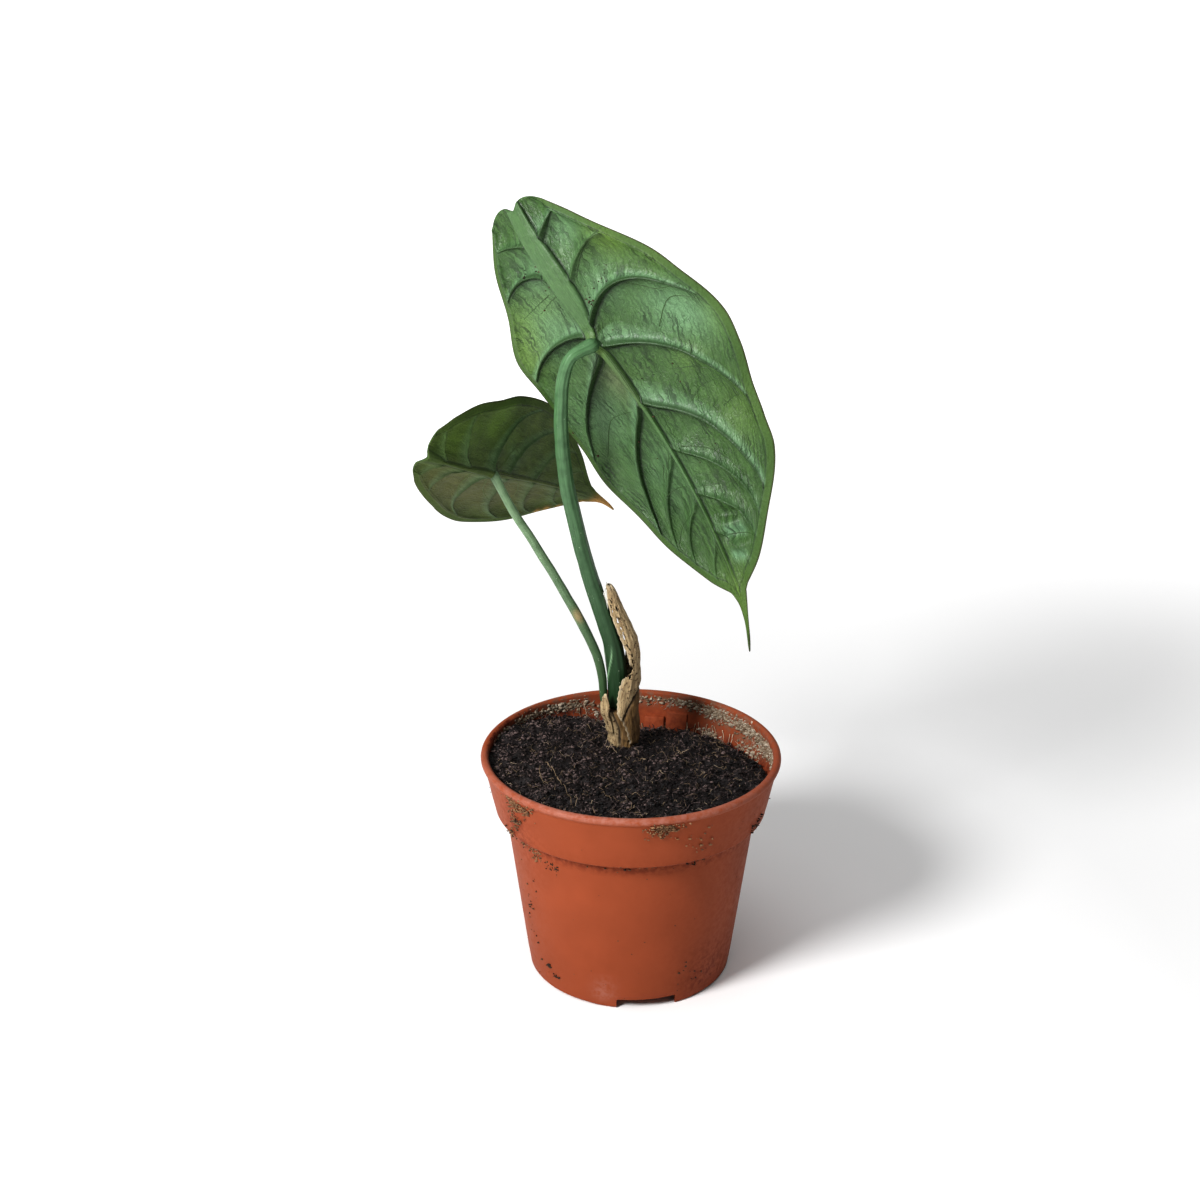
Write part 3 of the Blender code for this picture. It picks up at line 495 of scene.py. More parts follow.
def curled_path(rng, start, heading, length, steps, curl):
    """Points of a fibre that wanders as it goes, from a start along a heading."""
    points = [start]
    heading = heading.normalized()
    for _ in range(steps):
        swerve = Vector([rng.gauss(0, curl) for _ in range(3)])
        heading = (heading + swerve).normalized()
        points.append(points[-1] + heading * length / steps)
    return points


# Materials
def add(tree, kind, inputs=None, **settings):
    """Add a shader node with its settings, and link or set its inputs by name or place.

    Inputs given as a tuple are taken two at a time by a chain of such nodes.
    """
    if isinstance(inputs, tuple):
        made = inputs[0]
        for value in inputs[1:]:
            made = add(tree, kind, {0: made, 1: value}, **settings)
        return made
    made = tree.nodes.new("ShaderNode" + kind)
    made.location = (-220 * (len(tree.nodes) % 7) - 200, 300 - 260 * (len(tree.nodes) // 7))
    for key, value in settings.items():
        setattr(made, key, value)
    for key, value in (inputs or {}).items():
        sockets = [s for s in made.inputs if s.enabled]
        socket = sockets[key] if isinstance(key, int) else next(s for s in sockets if s.name == key)
        if isinstance(value, bpy.types.Node):
            value = next(s for s in value.outputs if s.enabled)
        if isinstance(value, bpy.types.NodeSocket):
            tree.links.new(value, socket)
        else:
            socket.default_value = value
    return made


def start_material(name, **sockets):
    """A material with a Principled shader whose constant sockets are set by name."""
    material = bpy.data.materials.new(name)
    material.use_nodes = True
    shader = material.node_tree.nodes["Principled BSDF"]
    for key, value in sockets.items():
        shader.inputs[key.replace("_", " ")].default_value = value
    return material, material.node_tree, shader


def wire(tree, shader, **sources):
    """Link nodes or their sockets to the shader's inputs by name."""
    for key, value in sources.items():
        if isinstance(value, bpy.types.Node):
            value = next(s for s in value.outputs if s.enabled)
        tree.links.new(value, shader.inputs[key.replace("_", " ")])


def moulded_polypropylene(looks):
    """Injection-moulded polypropylene: an even clay orange with a soft satin gloss."""
    material, tree, shader = start_material("moulded_polypropylene", IOR=1.49,
                                            Specular_IOR_Level=0.07)
    place = add(tree, "TexCoord").outputs["Object"]
    # Pigment streaks and flow marks about 12 mm across, then dust some 2 mm across
    flow = add(tree, "TexNoise", {"Vector": place, "Scale": 80.0, "Detail": 3.0})
    dust = add(tree, "TexNoise", {"Vector": place, "Scale": 520.0, "Detail": 5.0, "Roughness": 0.65})
    colour = add(tree, "Mix", {"Factor": flow, "A": rgba([c * 0.86 for c in looks.clay]),
                               "B": rgba([min(c * 1.12, 1.0) for c in looks.clay])}, data_type="RGBA")
    # Each kind of dirt: its mask, the dust levels between which it shows, and its colour. The second mask
    # also paints shade and the third a highlight along the lip
    for key, low, high, tint in (("residue", 0.44, 0.62, looks.residue),
                                 ("grime_and_shade", 0.38, 0.60, looks.grime_and_shade), ("scuff_and_highlight", 0.3, 0.6, looks.scuff_and_highlight)):
        mask = add(tree, "Attribute", attribute_name=key).outputs["Fac"]
        broken = add(tree, "MapRange", {"Value": dust, "From Min": low, "From Max": high})
        share = add(tree, "Math", (mask, broken), operation="MULTIPLY")
        colour = add(tree, "Mix", {"Factor": share, "A": colour, "B": rgba(tint)}, data_type="RGBA")
    gloss = add(tree, "MapRange", {"Value": dust, "From Min": 0.3, "From Max": 0.7,
                                   "To Min": looks.roughness - 0.05, "To Max": looks.roughness + 0.1})
    # Spark-eroded mould grain about 0.3 mm across
    grain = add(tree, "TexNoise", {"Vector": place, "Scale": 3200.0, "Detail": 2.0})
    relief = add(tree, "Bump", {"Strength": 0.35, "Distance": 0.00006, "Height": grain})
    ripple = add(tree, "Bump", {"Strength": 0.4, "Distance": 0.0002, "Height": flow, "Normal": relief})
    wire(tree, shader, Base_Color=colour, Roughness=gloss, Normal=ripple)
    return material


def damp_peat(looks):
    """Damp sieved peat: near black crumbs with small wet glints."""
    material, tree, shader = start_material("damp_peat", IOR=1.4)
    place = add(tree, "TexCoord").outputs["Object"]
    tone = add(tree, "Attribute", attribute_name="tone").outputs["Fac"]
    fine = add(tree, "TexNoise", {"Vector": place, "Scale": 1500.0, "Detail": 4.0, "Roughness": 0.7})
    mottle = add(tree, "Math", (tone, fine), operation="MULTIPLY")
    spread = add(tree, "MapRange", {"Value": mottle, "From Min": 0.05, "From Max": 0.65})
    colour = add(tree, "ValToRGB", {"Fac": spread})
    ramp = colour.color_ramp
    ramp.elements[0].color = rgba(looks.peat_dark)
    ramp.elements[1].color = rgba(looks.peat_pale)
    ramp.elements.new(0.5).color = rgba(looks.peat_brown)
    wet = add(tree, "MapRange", {"Value": fine, "From Min": 0.35, "From Max": 0.7,
                                 "To Min": 0.35, "To Max": 0.95})
    relief = add(tree, "Bump", {"Strength": 0.9, "Distance": 0.0004, "Height": fine})
    wire(tree, shader, Base_Color=colour.outputs["Color"], Roughness=wet, Normal=relief)
    return material


def toned_matter(name, dark, middle, pale, roughness):
    """Dry plant matter and crumbs, coloured by each bit's own tone."""
    material, tree, shader = start_material(name, IOR=1.45, Roughness=roughness)
    place = add(tree, "TexCoord").outputs["Object"]
    tone = add(tree, "Attribute", attribute_name="tone").outputs["Fac"]
    fine = add(tree, "TexNoise", {"Vector": place, "Scale": 1800.0, "Detail": 3.0})
    shift = add(tree, "MapRange", {"Value": fine, "To Min": -0.22, "To Max": 0.22})
    level = add(tree, "Math", {0: tone, 1: shift}, operation="ADD", use_clamp=True)
    colour = add(tree, "ValToRGB", {"Fac": level})
    ramp = colour.color_ramp
    ramp.elements[0].color = rgba(dark)
    ramp.elements[1].color = rgba(pale)
    ramp.elements.new(0.5).color = rgba(middle)
    relief = add(tree, "Bump", {"Strength": 0.5, "Distance": 0.0001, "Height": fine})
    wire(tree, shader, Base_Color=colour.outputs["Color"], Normal=relief)
    return material


def stalk_cuticle(name, looks, top, foot):
    """Waxy living stalk: satin green with lengthwise fibres, small pale flecks and scars."""
    material, tree, shader = start_material(name, IOR=1.42, Specular_IOR_Level=0.45)
    strand = add(tree, "Attribute", attribute_name="strand").outputs["Vector"]
    mask = {key: add(tree, "Attribute", attribute_name=key).outputs["Fac"]
            for key in ("climb", "edge", "scar")}
    base = add(tree, "Mix", {"Factor": mask["climb"], "A": rgba(foot), "B": rgba(top)},
               data_type="RGBA")
    # Fibres 0.25 mm apart that run the length of the stalk
    drawn = add(tree, "Mapping", {"Vector": strand, "Scale": (4.0, 4.0, 0.12)})
    fibres = add(tree, "TexNoise", {"Vector": drawn, "Scale": 1.0, "Detail": 3.0})
    light = add(tree, "MapRange", {"Value": fibres, "From Min": 0.3, "From Max": 0.7,
                                   "To Min": 0.78, "To Max": 1.22})
    colour = add(tree, "Mix", {"Factor": 1.0, "A": base, "B": light}, data_type="RGBA",
                 blend_type="MULTIPLY")
    blotch = add(tree, "TexNoise", {"Vector": strand, "Scale": 0.28, "Detail": 2.0})
    patch = add(tree, "MapRange", {"Value": blotch, "From Min": 0.45, "From Max": 0.75,
                                   "To Max": 0.45})
    # Pale stomatal flecks, drawn about 0.4 mm wide so that they show
    cells = add(tree, "TexVoronoi", {"Vector": strand, "Scale": 0.42})
    fleck = add(tree, "MapRange", {"Value": cells.outputs["Distance"], "From Min": 0.10,
                                   "From Max": 0.05, "To Max": 0.6})
    for factor, tint in ((patch, foot), (fleck, looks.fleck), (mask["edge"], looks.edge),
                         (mask["scar"], looks.scar)):
        colour = add(tree, "Mix", {"Factor": factor, "A": colour, "B": rgba(tint)}, data_type="RGBA")
    relief = add(tree, "Bump", {"Strength": 0.5, "Distance": 0.00008, "Height": fibres})
    wax = add(tree, "MapRange", {"Value": blotch, "To Min": 0.36, "To Max": 0.52})
    wire(tree, shader, Base_Color=colour, Roughness=wax, Normal=relief)
    return material


def stroke(tree, value, centre, half, strength=1.0):
    """A soft line where a value passes its centre, gone at half a width from it."""
    off = add(tree, "Math", (value, centre), operation="SUBTRACT")
    away = add(tree, "Math", {0: off}, operation="ABSOLUTE")
    return add(tree, "MapRange", {"Value": away, "From Max": half, "To Min": strength, "To Max": 0.0})


def leaf_lamina(name, looks, tints, roughness, wax, net_depth):
    """Living leaf blade: waxy and quilted, with a net of fine veins between the ribs."""
    under, under_dark, dull, costa_tint, margin = tints
    material, tree, shader = start_material(name, IOR=1.42, Specular_IOR_Level=wax)
    flat = add(tree, "Attribute", attribute_name="flat").outputs["Vector"]
    weave = add(tree, "Attribute", attribute_name="weave").outputs["Vector"]
    mask = {key: add(tree, "Attribute", attribute_name=key).outputs["Fac"] for key in BLADE_MASKS}
    # The net: cells 1 by 4 mm that lie across the panels, 1.2 by 3 mm along them in places, and
    # coarser threads some 4 by 8 mm apart
    wander = add(tree, "TexNoise", {"Vector": flat, "Scale": 0.45, "Detail": 3.0}).outputs["Color"]
    bent = add(tree, "VectorMath", {0: wander, 1: (4.0, 4.0, 0.0), 2: weave},
               operation="MULTIPLY_ADD")
    nets = []
    for cell in ((0.95, 0.25, 1.0), (0.32, 0.8, 1.0), (0.24, 0.13, 1.0)):
        place = add(tree, "Mapping", {"Vector": bent, "Scale": cell})
        nets.append(add(tree, "TexVoronoi", {"Vector": place, "Scale": 1.0},
                        feature="DISTANCE_TO_EDGE"))
    # Fine wrinkles about 1 mm apart, each running from one rib to the next
    laid = add(tree, "Mapping", {"Vector": bent, "Scale": (0.95, 0.07, 1.0)})
    folds = add(tree, "TexNoise", {"Vector": laid, "Scale": 1.0, "Detail": 2.5})
    furrow = add(tree, "MapRange", {"Value": folds, "From Min": 0.51, "From Max": 0.41})
    where = add(tree, "TexNoise", {"Vector": flat, "Scale": 0.09, "Detail": 2.0})
    taut = add(tree, "MapRange", {"Value": where, "From Min": 0.4, "From Max": 0.6, "To Min": 0.35})
    choice = add(tree, "TexNoise", {"Vector": flat, "Scale": 0.06, "Detail": 1.0})
    lie = add(tree, "MapRange", {"Value": choice, "From Min": 0.55, "From Max": 0.62})
    pillow = add(tree, "Mix", {"Factor": lie, "A": nets[0], "B": nets[1]}, data_type="FLOAT")
    hair = add(tree, "MapRange", {"Value": pillow, "From Min": 0.11, "From Max": 0.0})
    thread = add(tree, "MapRange", {"Value": nets[2], "From Min": 0.05, "From Max": 0.0})
    gaps = add(tree, "TexNoise", {"Vector": flat, "Scale": 0.5, "Detail": 2.0})
    drawn = add(tree, "MapRange", {"Value": gaps, "From Min": 0.42, "From Max": 0.6})
    faint = add(tree, "Math", (hair, drawn, 0.4), operation="MULTIPLY")
    bold = add(tree, "Math", (thread, 0.45), operation="MULTIPLY")
    lines = add(tree, "Math", (faint, bold), operation="MAXIMUM")
    # Masks by the distance in mm from a rib, the midrib's edge or the rim: full at, gone at
    fades = {"body": ("off", 0.7, 1.3), "close": ("off", 1.4, 7.0), "inside": ("axis", -0.25, 0.1),
             "zone": ("rim", 2.2, 2.9), "brink": ("rim", 0.2, 0.5)}
    near = {key: add(tree, "MapRange", {"Value": mask[source], "From Min": gone, "From Max": full})
            for key, (source, full, gone) in fades.items()}
    zone = near["zone"]
    body = add(tree, "Math", (near["body"], mask["force"]), operation="MULTIPLY")
    costa = add(tree, "Math", (near["inside"], mask["costa"]), operation="MULTIPLY")
    ribs = add(tree, "Math", (body, near["inside"]), operation="MAXIMUM")
    seam = stroke(tree, mask["rim"], 3.0, 0.35)
    # Painted shade in the creases beside the ribs and the midrib, deeper on the side of each rib away from
    # the light, and in two grooves on it in front of the seat
    shade_side = add(tree, "MapRange", {"Value": mask["after"], "To Min": 0.2})
    beside = add(tree, "Math", (stroke(tree, mask["off"], 1.25, 0.95), mask["force"], shade_side),
                 operation="MULTIPLY")
    border = add(tree, "Math", (stroke(tree, mask["axis"], 0.3, 0.85), mask["edged"]),
                 operation="MULTIPLY")
    grooves = add(tree, "Math", (stroke(tree, mask["axis"], -0.75, 0.22),
                                 stroke(tree, mask["axis"], -1.45, 0.18, 0.6)), operation="MAXIMUM")
    fluted = add(tree, "Math", (grooves, mask["groove"]), operation="MULTIPLY")
    creases = add(tree, "Math", (beside, border, fluted), operation="MAXIMUM")
    # Painted light and shade: panels are painted light on their way up to a rib and dark past it, and the
    # painted light joins the silvery patches
    before = add(tree, "Math", (1.0, mask["after"]), operation="SUBTRACT")
    panel_shade = add(tree, "Math", (near["close"], mask["force"], mask["after"]), operation="MULTIPLY")
    panel_highlight = add(tree, "Math", (near["close"], mask["force"], before, 0.6), operation="MULTIPLY")
    silver_and_sheen = add(tree, "Math", (mask["silver_and_sheen"], panel_highlight), operation="MAXIMUM")
    # Lines and wrinkles keep off the ribs and the margin, and are weaker on the costa
    smoothed = add(tree, "Math", {0: costa, 1: -0.65, 2: ribs}, operation="MULTIPLY_ADD")
    taken = add(tree, "Math", (smoothed, zone), operation="MAXIMUM")
    plain = add(tree, "Math", (1.0, taken), operation="SUBTRACT")
    net = add(tree, "Math", (lines, plain), operation="MULTIPLY")
    # The wrinkles' furrows are painted dark as shade
    wrinkles = add(tree, "Math", (furrow, taut, plain, 0.85), operation="MULTIPLY")
    marks = add(tree, "Math", (net, wrinkles), operation="MAXIMUM")
    # Colour of the underside, from the tissue up to the ribs and the margin
    cells = add(tree, "TexNoise", {"Vector": flat, "Scale": 1.6, "Detail": 4.0, "Roughness": 0.6})
    cloud = add(tree, "TexNoise", {"Vector": flat, "Scale": 0.16, "Detail": 4.0, "Roughness": 0.6})
    deep = add(tree, "MapRange", {"Value": cloud, "From Min": 0.3, "From Max": 0.7})
    drawn_out = add(tree, "Mapping", {"Vector": flat, "Scale": (0.1, 1.6, 1.0)})
    streaks = add(tree, "TexNoise", {"Vector": drawn_out, "Scale": 1.0, "Detail": 4.0})
    speckle = add(tree, "Mix", {"Factor": costa, "A": cells, "B": streaks}, data_type="FLOAT")
    grain = add(tree, "MapRange", {"Value": speckle, "From Min": 0.3, "From Max": 0.7,
                                   "To Min": 0.8, "To Max": 1.18})
    colour = add(tree, "Mix", {"Factor": deep, "A": rgba(under_dark), "B": rgba(under)},
                 data_type="RGBA")
    # Painted light and shade in these layers: sheen in the silvery one, shade past each rib in the rib
    # colour, shade in the wrinkles' furrows, and shade in the creases
    layers = ((mask["warm"], 1.0, looks.warm), (mask["dull"], 1.0, dull), (silver_and_sheen, 1.0, looks.silver_and_sheen),
              (panel_shade, 0.5, looks.vein), (marks, net_depth, looks.crease), (zone, 0.7, margin),
              (body, 0.8, looks.vein), (costa, 0.5, costa_tint), (seam, 0.6, looks.crease),
              (near["brink"], 0.7, looks.brink), (creases, 0.95, looks.crease))
    for factor, amount, tint in layers:
        share = add(tree, "Math", (factor, amount), operation="MULTIPLY")
        colour = add(tree, "Mix", {"Factor": share, "A": colour, "B": rgba(tint)}, data_type="RGBA")
    colour = add(tree, "Mix", {"Factor": 1.0, "A": colour, "B": grain}, data_type="RGBA",
                 blend_type="MULTIPLY")
    colour = add(tree, "Mix", {"Factor": mask["burnt"], "A": colour, "B": rgba(looks.burnt)},
                 data_type="RGBA")
    # The upper side is deeper green with slightly paler ribs, and has a roughness of its own
    veined = add(tree, "Math", (ribs, 0.7), operation="MULTIPLY")
    shine = add(tree, "Mix", {"Factor": veined, "A": rgba(looks.upper), "B": rgba(looks.vein)},
                data_type="RGBA")
    top = add(tree, "Mix", {"Factor": 1.0, "A": shine, "B": grain}, data_type="RGBA",
              blend_type="MULTIPLY")
    both = add(tree, "Mix", {"Factor": mask["below"], "A": top, "B": colour}, data_type="RGBA")
    gloss = add(tree, "MapRange", {"Value": mask["below"], "To Min": 0.5, "To Max": roughness})
    uneven = add(tree, "MapRange", {"Value": cells, "To Min": -0.07, "To Max": 0.07})
    waxy = add(tree, "Math", (gloss, uneven), operation="ADD")
    rough = add(tree, "Math", {0: zone, 1: 0.25, 2: waxy}, operation="MULTIPLY_ADD")
    # Relief: creases and lines sink, the tissue between them swells
    domes = add(tree, "MapRange", {"Value": pillow, "From Max": 0.35})
    swells = add(tree, "Math", (domes, plain, 0.3), operation="MULTIPLY")
    rucks = add(tree, "Math", (folds, taut, 1.5), operation="MULTIPLY")
    etched = add(tree, "Math", (net, 0.35), operation="MULTIPLY")
    sunk = add(tree, "Math", (creases, etched), operation="MAXIMUM")
    ridges = add(tree, "Math", (swells, rucks), operation="ADD")
    height = add(tree, "Math", (ridges, sunk), operation="SUBTRACT")
    firm = add(tree, "MapRange", {"Value": mask["below"], "To Min": 0.3, "To Max": 0.9})
    relief = add(tree, "Bump", {"Strength": firm, "Distance": 0.00035, "Height": height})
    pores = add(tree, "Bump", {"Strength": 0.25, "Distance": 0.00004, "Height": cells,
                               "Normal": relief})
    wire(tree, shader, Base_Color=both, Roughness=rough, Normal=pores)
    return material


def papery_bract(name, looks, pale, dark):
    """Dry papery leaf base: tan with darker lengthwise fibres and a matt, brittle surface."""
    material, tree, shader = start_material(name, IOR=1.45, Roughness=0.82)
    strand = add(tree, "Attribute", attribute_name="strand").outputs["Vector"]
    mask = {key: add(tree, "Attribute", attribute_name=key).outputs["Fac"]
            for key in ("crevice_shade", "lower", "edge")}
    # Fibres some 0.4 mm apart and 4.5 mm long
    drawn = add(tree, "Mapping", {"Vector": strand, "Scale": (2.6, 2.6, 0.22)})
    fibres = add(tree, "TexNoise", {"Vector": drawn, "Scale": 1.0, "Detail": 5.0, "Roughness": 0.65})
    level = add(tree, "MapRange", {"Value": fibres, "From Min": 0.32, "From Max": 0.68})
    tan = add(tree, "Mix", {"Factor": level, "A": rgba(dark), "B": rgba(pale)}, data_type="RGBA")
    spots = add(tree, "TexNoise", {"Vector": strand, "Scale": 0.9, "Detail": 3.0})
    fleck = add(tree, "MapRange", {"Value": spots, "From Min": 0.54, "From Max": 0.66})
    browned = add(tree, "Mix", {"Factor": fleck, "A": tan, "B": rgba(looks.spot)}, data_type="RGBA")
    golden = add(tree, "Mix", {"Factor": mask["lower"], "A": browned, "B": rgba(looks.corm)},
                 data_type="RGBA")
    warm = add(tree, "Mix", {"Factor": level, "A": rgba(looks.spot), "B": golden}, data_type="RGBA")
    colour = add(tree, "Mix", {"Factor": mask["lower"], "A": browned, "B": warm}, data_type="RGBA")
    # Bleached torn edges, then painted shade in the creases, the seam and the sheath's inner face
    for factor, tint in ((mask["edge"], looks.torn), (mask["crevice_shade"], looks.crevice_shade)):
        colour = add(tree, "Mix", {"Factor": factor, "A": colour, "B": rgba(tint)}, data_type="RGBA")
    relief = add(tree, "Bump", {"Strength": 1.0, "Distance": 0.0006, "Height": fibres})
    wire(tree, shader, Base_Color=colour, Normal=relief)
    return material


def opal_acrylic(looks):
    """Opal acrylic light table: matt white, lit from below away from the plant."""
    material, tree, shader = start_material("opal_acrylic", IOR=1.49, Roughness=0.95,
                                            Specular_IOR_Level=0.1, Emission_Color=(1, 1, 1, 1))
    place = add(tree, "TexCoord").outputs["Object"]
    flock = add(tree, "TexNoise", {"Vector": place, "Scale": 900.0, "Detail": 2.0})
    tint = add(tree, "Mix", {"Factor": flock, "A": rgba([c * 0.985 for c in looks.card]),
                             "B": rgba(looks.card)}, data_type="RGBA")
    away = add(tree, "VectorMath", {0: place, 1: AXIS}, operation="DISTANCE")
    lit = add(tree, "MapRange", {"Value": away, "From Min": 0.2, "From Max": 0.8,
                                 "To Max": looks.table})
    wire(tree, shader, Base_Color=tint, Emission_Strength=lit)
    return material


# Pot
def arc(centre, radius, start, end, steps):
    """Points of a profile arc between two angles in degrees."""
    points = []
    for k in range(steps + 1):
        angle = math.radians(blend(start, end, k / steps))
        points.append((centre[0] + radius * math.cos(angle), centre[1] + radius * math.sin(angle)))
    return points


def pot_inside(z):
    """Inner radius of the pot at a height above its floor."""
    if z > LEDGE + WALL:
        return COLLAR_FOOT_RADIUS - WALL + COLLAR_LEAN * (z - LEDGE)
    return BASE_RADIUS - WALL + (BODY_TOP_RADIUS - BASE_RADIUS) / LEDGE * z


def pot_outside(z):
    """Outer radius of the pot at a height between its foot and its lip."""
    return pot_inside(z + (WALL if z > LEDGE else 0.0)) + WALL


def pot_profile():
    """The wall's closed outline, from the central drain out, up, over the lip and back down."""
    lip = (LIP_RADIUS - LIP_ROLL, POT_HEIGHT - LIP_ROLL)
    profile = [(CENTRE_DRAIN_RADIUS, FOOT_HEIGHT), (BASE_RADIUS - FOOT_WIDTH - 0.4, FOOT_HEIGHT)]
    profile += [(BASE_RADIUS - FOOT_WIDTH, FOOT_HEIGHT - 0.4), (BASE_RADIUS - FOOT_WIDTH, 0.0)]
    profile += arc((BASE_RADIUS - CORNER, CORNER), CORNER, -90, 0, 6)
    profile += [(pot_outside(z) + 0.02, z) for z in (6.0, 15.0, 26.0, 37.0, 48.0, 56.0)]
    profile += arc((BODY_TOP_RADIUS + 0.9, LEDGE - 0.9), 0.9, 180, 90, 5)
    profile += arc((COLLAR_FOOT_RADIUS - 0.8, LEDGE + 0.8), 0.8, -90, 0, 5)
    profile += [(COLLAR_FOOT_RADIUS + 1.2, LEDGE + 6.0), (COLLAR_FOOT_RADIUS + 2.4, LEDGE + 12.0)]
    profile += [(COLLAR_TOP_RADIUS - 0.1, POT_HEIGHT - 2.6 * LIP_ROLL)]
    profile += arc((COLLAR_TOP_RADIUS + 0.3, POT_HEIGHT - 2.0 * LIP_ROLL - 0.4), 0.3, 180, 90, 3)
    profile += arc(lip, LIP_ROLL, -60, 165, 14)
    for z in range(int(POT_HEIGHT) - 3, int(LEDGE) + 1, -1):
        profile.append((pot_inside(z), z))
    profile += [(pot_inside(LEDGE + WALL + 0.6) - 0.8, LEDGE + WALL)]
    profile += [(pot_inside(LEDGE - 0.4) + 0.4, LEDGE + WALL - 0.4), (pot_inside(LEDGE), LEDGE - 0.4)]
    profile += [(pot_inside(FLOOR + 1.0), FLOOR + 1.0), (pot_inside(FLOOR) - 1.0, FLOOR)]
    return profile + [(CENTRE_DRAIN_RADIUS, FLOOR)]


def loose_object(name, bm):
    """An object that only takes part in a Boolean and is removed after it."""
    bmesh.ops.recalc_face_normals(bm, faces=bm.faces)
    return bpy.data.objects.new(name, finish_mesh(name, bm))


def combine(body, tools, operation):
    """Join or cut an object with others, apply it, and remove what is used up."""
    group = bpy.data.collections.new("tools")
    bpy.context.scene.collection.children.link(group)
    for tool in tools:
        group.objects.link(tool)
    step = body.modifiers.new("combine", "BOOLEAN")
    step.operation = operation
    step.operand_type = "COLLECTION"
    step.collection = group
    step.solver = "EXACT"
    bpy.context.view_layer.update()
    seen = body.evaluated_get(bpy.context.evaluated_depsgraph_get())
    mesh = bpy.data.meshes.new_from_object(seen)
    body.modifiers.clear()
    body.data = mesh
    for tool in tools:
        bpy.data.objects.remove(tool)
    bpy.data.collections.remove(group)


def drain_tool(k):
    azimuth = math.tau * (k + 0.5) / DRAINS
    bm = bmesh.new()
    bmesh.ops.create_cone(bm, cap_ends=True, segments=32, radius1=DRAIN_RADIUS,
                          radius2=DRAIN_RADIUS, depth=3 * WALL)
    bmesh.ops.translate(bm, vec=polar(DRAIN_CIRCLE, azimuth, FLOOR), verts=bm.verts)
    return loose_object("drain_tool", bm)


def notch_tool(k):
    """A round-cornered cutter for one of the notches that let water out under the foot."""
    bm = bmesh.new()
    bmesh.ops.create_cube(bm, size=1.0)
    bmesh.ops.scale(bm, vec=(10.0, NOTCH_WIDTH, 2 * NOTCH_HEIGHT), verts=bm.verts)
    edges = [e for e in bm.edges if all(v.co.z > 0 for v in e.verts)]
    bmesh.ops.bevel(bm, geom=edges, offset=0.7, offset_type="OFFSET", segments=4, profile=0.5,
                    affect="EDGES", material=-1)
    bmesh.ops.translate(bm, vec=(BASE_RADIUS, 0, 0), verts=bm.verts)
    azimuth = math.radians(NOTCH_AZIMUTH + 360 * k / NOTCHES)
    bmesh.ops.rotate(bm, cent=(0, 0, 0), matrix=Euler((0, 0, azimuth)).to_matrix(), verts=bm.verts)
    return loose_object("notch_tool", bm)


def ring_tool(k):
    """A wedge that lifts the foot ring between one notch's foot and the next, on soft slopes."""
    middle = math.radians(NOTCH_AZIMUTH + 360 * (k + 0.5) / NOTCHES)
    half = math.pi / NOTCHES - math.asin(NOTCH_WIDTH / 2 / BASE_RADIUS) - math.radians(FOOT_SPAN)
    reach = 1.5 * BASE_RADIUS
    rings = []
    for z, slope in ((-FOOT_DROP, 8.0), (0.0, 3.5), (0.6 * FOOT_DROP, -1.5), (FOOT_DROP, -8.0)):
        wide = half + math.radians(slope)
        rings.append([Vector((0.0, 0.0, z))]
                     + [polar(reach, middle + turn, z) for turn in (-wide, 0.0, wide)])
    bm = bmesh.new()
    loft(bm, rings)
    return loose_object("ring_tool", bm)


def lug_tool(azimuth, width, low, high, proud):
    """A raised pad on the inner wall, its edges softened."""
    middle = (low + high) / 2
    bm = bmesh.new()
    bmesh.ops.create_cube(bm, size=1.0)
    deep = proud + 0.6 * WALL
    bmesh.ops.scale(bm, vec=(deep, width, high - low), verts=bm.verts)
    bmesh.ops.bevel(bm, geom=bm.edges[:], offset=0.35, offset_type="OFFSET", segments=3,
                    profile=0.5, affect="EDGES", material=-1)
    for vert in bm.verts:
        vert.co.x += pot_inside(middle) + 0.6 * WALL - 0.5 * deep + COLLAR_LEAN * vert.co.z
        vert.co.z += middle
    spin = Euler((0, 0, math.radians(azimuth))).to_matrix()
    bmesh.ops.rotate(bm, cent=(0, 0, 0), matrix=spin, verts=bm.verts)
    return loose_object("lug_tool", bm)


def wall_masks(place):
    """Residue, wet stains with painted shade, and rubbed patches with a painted lip highlight at a point
    of the pot's wall.
    """
    azimuth = math.degrees(math.atan2(place.y, place.x))
    radius = math.hypot(place.x, place.y)
    inside = radius < pot_outside(min(place.z, POT_HEIGHT - 3.0)) - 0.7 * WALL
    residue = 0.0
    if inside or place.z > POT_HEIGHT - 1.5:
        for where, height, half, tall, _ in RESIDUE:
            off = (azimuth - where + 180) % 360 - 180
            residue += swell(off, 1.2 * half) * swell(place.z - height, 1.5 * tall)
    if inside:
        soil = smooth(SOIL_EDGE, azimuth)
        # Wet stain just above the soil line, a darker tone over the whole inner wall, and painted shade on
        # its back left
        grime_and_shade = swell(max(place.z - soil, 0.0), 3.0) + 0.45 * swell(azimuth - 150, 30) + 0.3
    else:
        # Stains low at the front right and high at the front left, painted shade in a line under the
        # collar's ledge, and painted shade over the right side
        grime_and_shade = 0.8 * swell(azimuth + 43, 16) * swell(place.z - 9, 6)
        grime_and_shade += 0.5 * swell(azimuth + 143, 10) * swell(place.z - 66, 14)
        grime_and_shade += 0.9 * swell(place.z - LEDGE + 0.7, 1.0) + 0.35 * swell(azimuth - 5, 52)
    # A rubbed patch low at the front, and a painted highlight along the top of the lip at the front
    scuff_and_highlight = 0.5 * swell(azimuth + 104, 6) * swell(place.z - 6.0, 2.2)
    scuff_and_highlight += 0.6 * clamp((place.z - POT_HEIGHT + 2.4) / 1.0) * swell(azimuth + 95, 75)
    return clamp(residue), clamp(grime_and_shade), clamp(scuff_and_highlight)


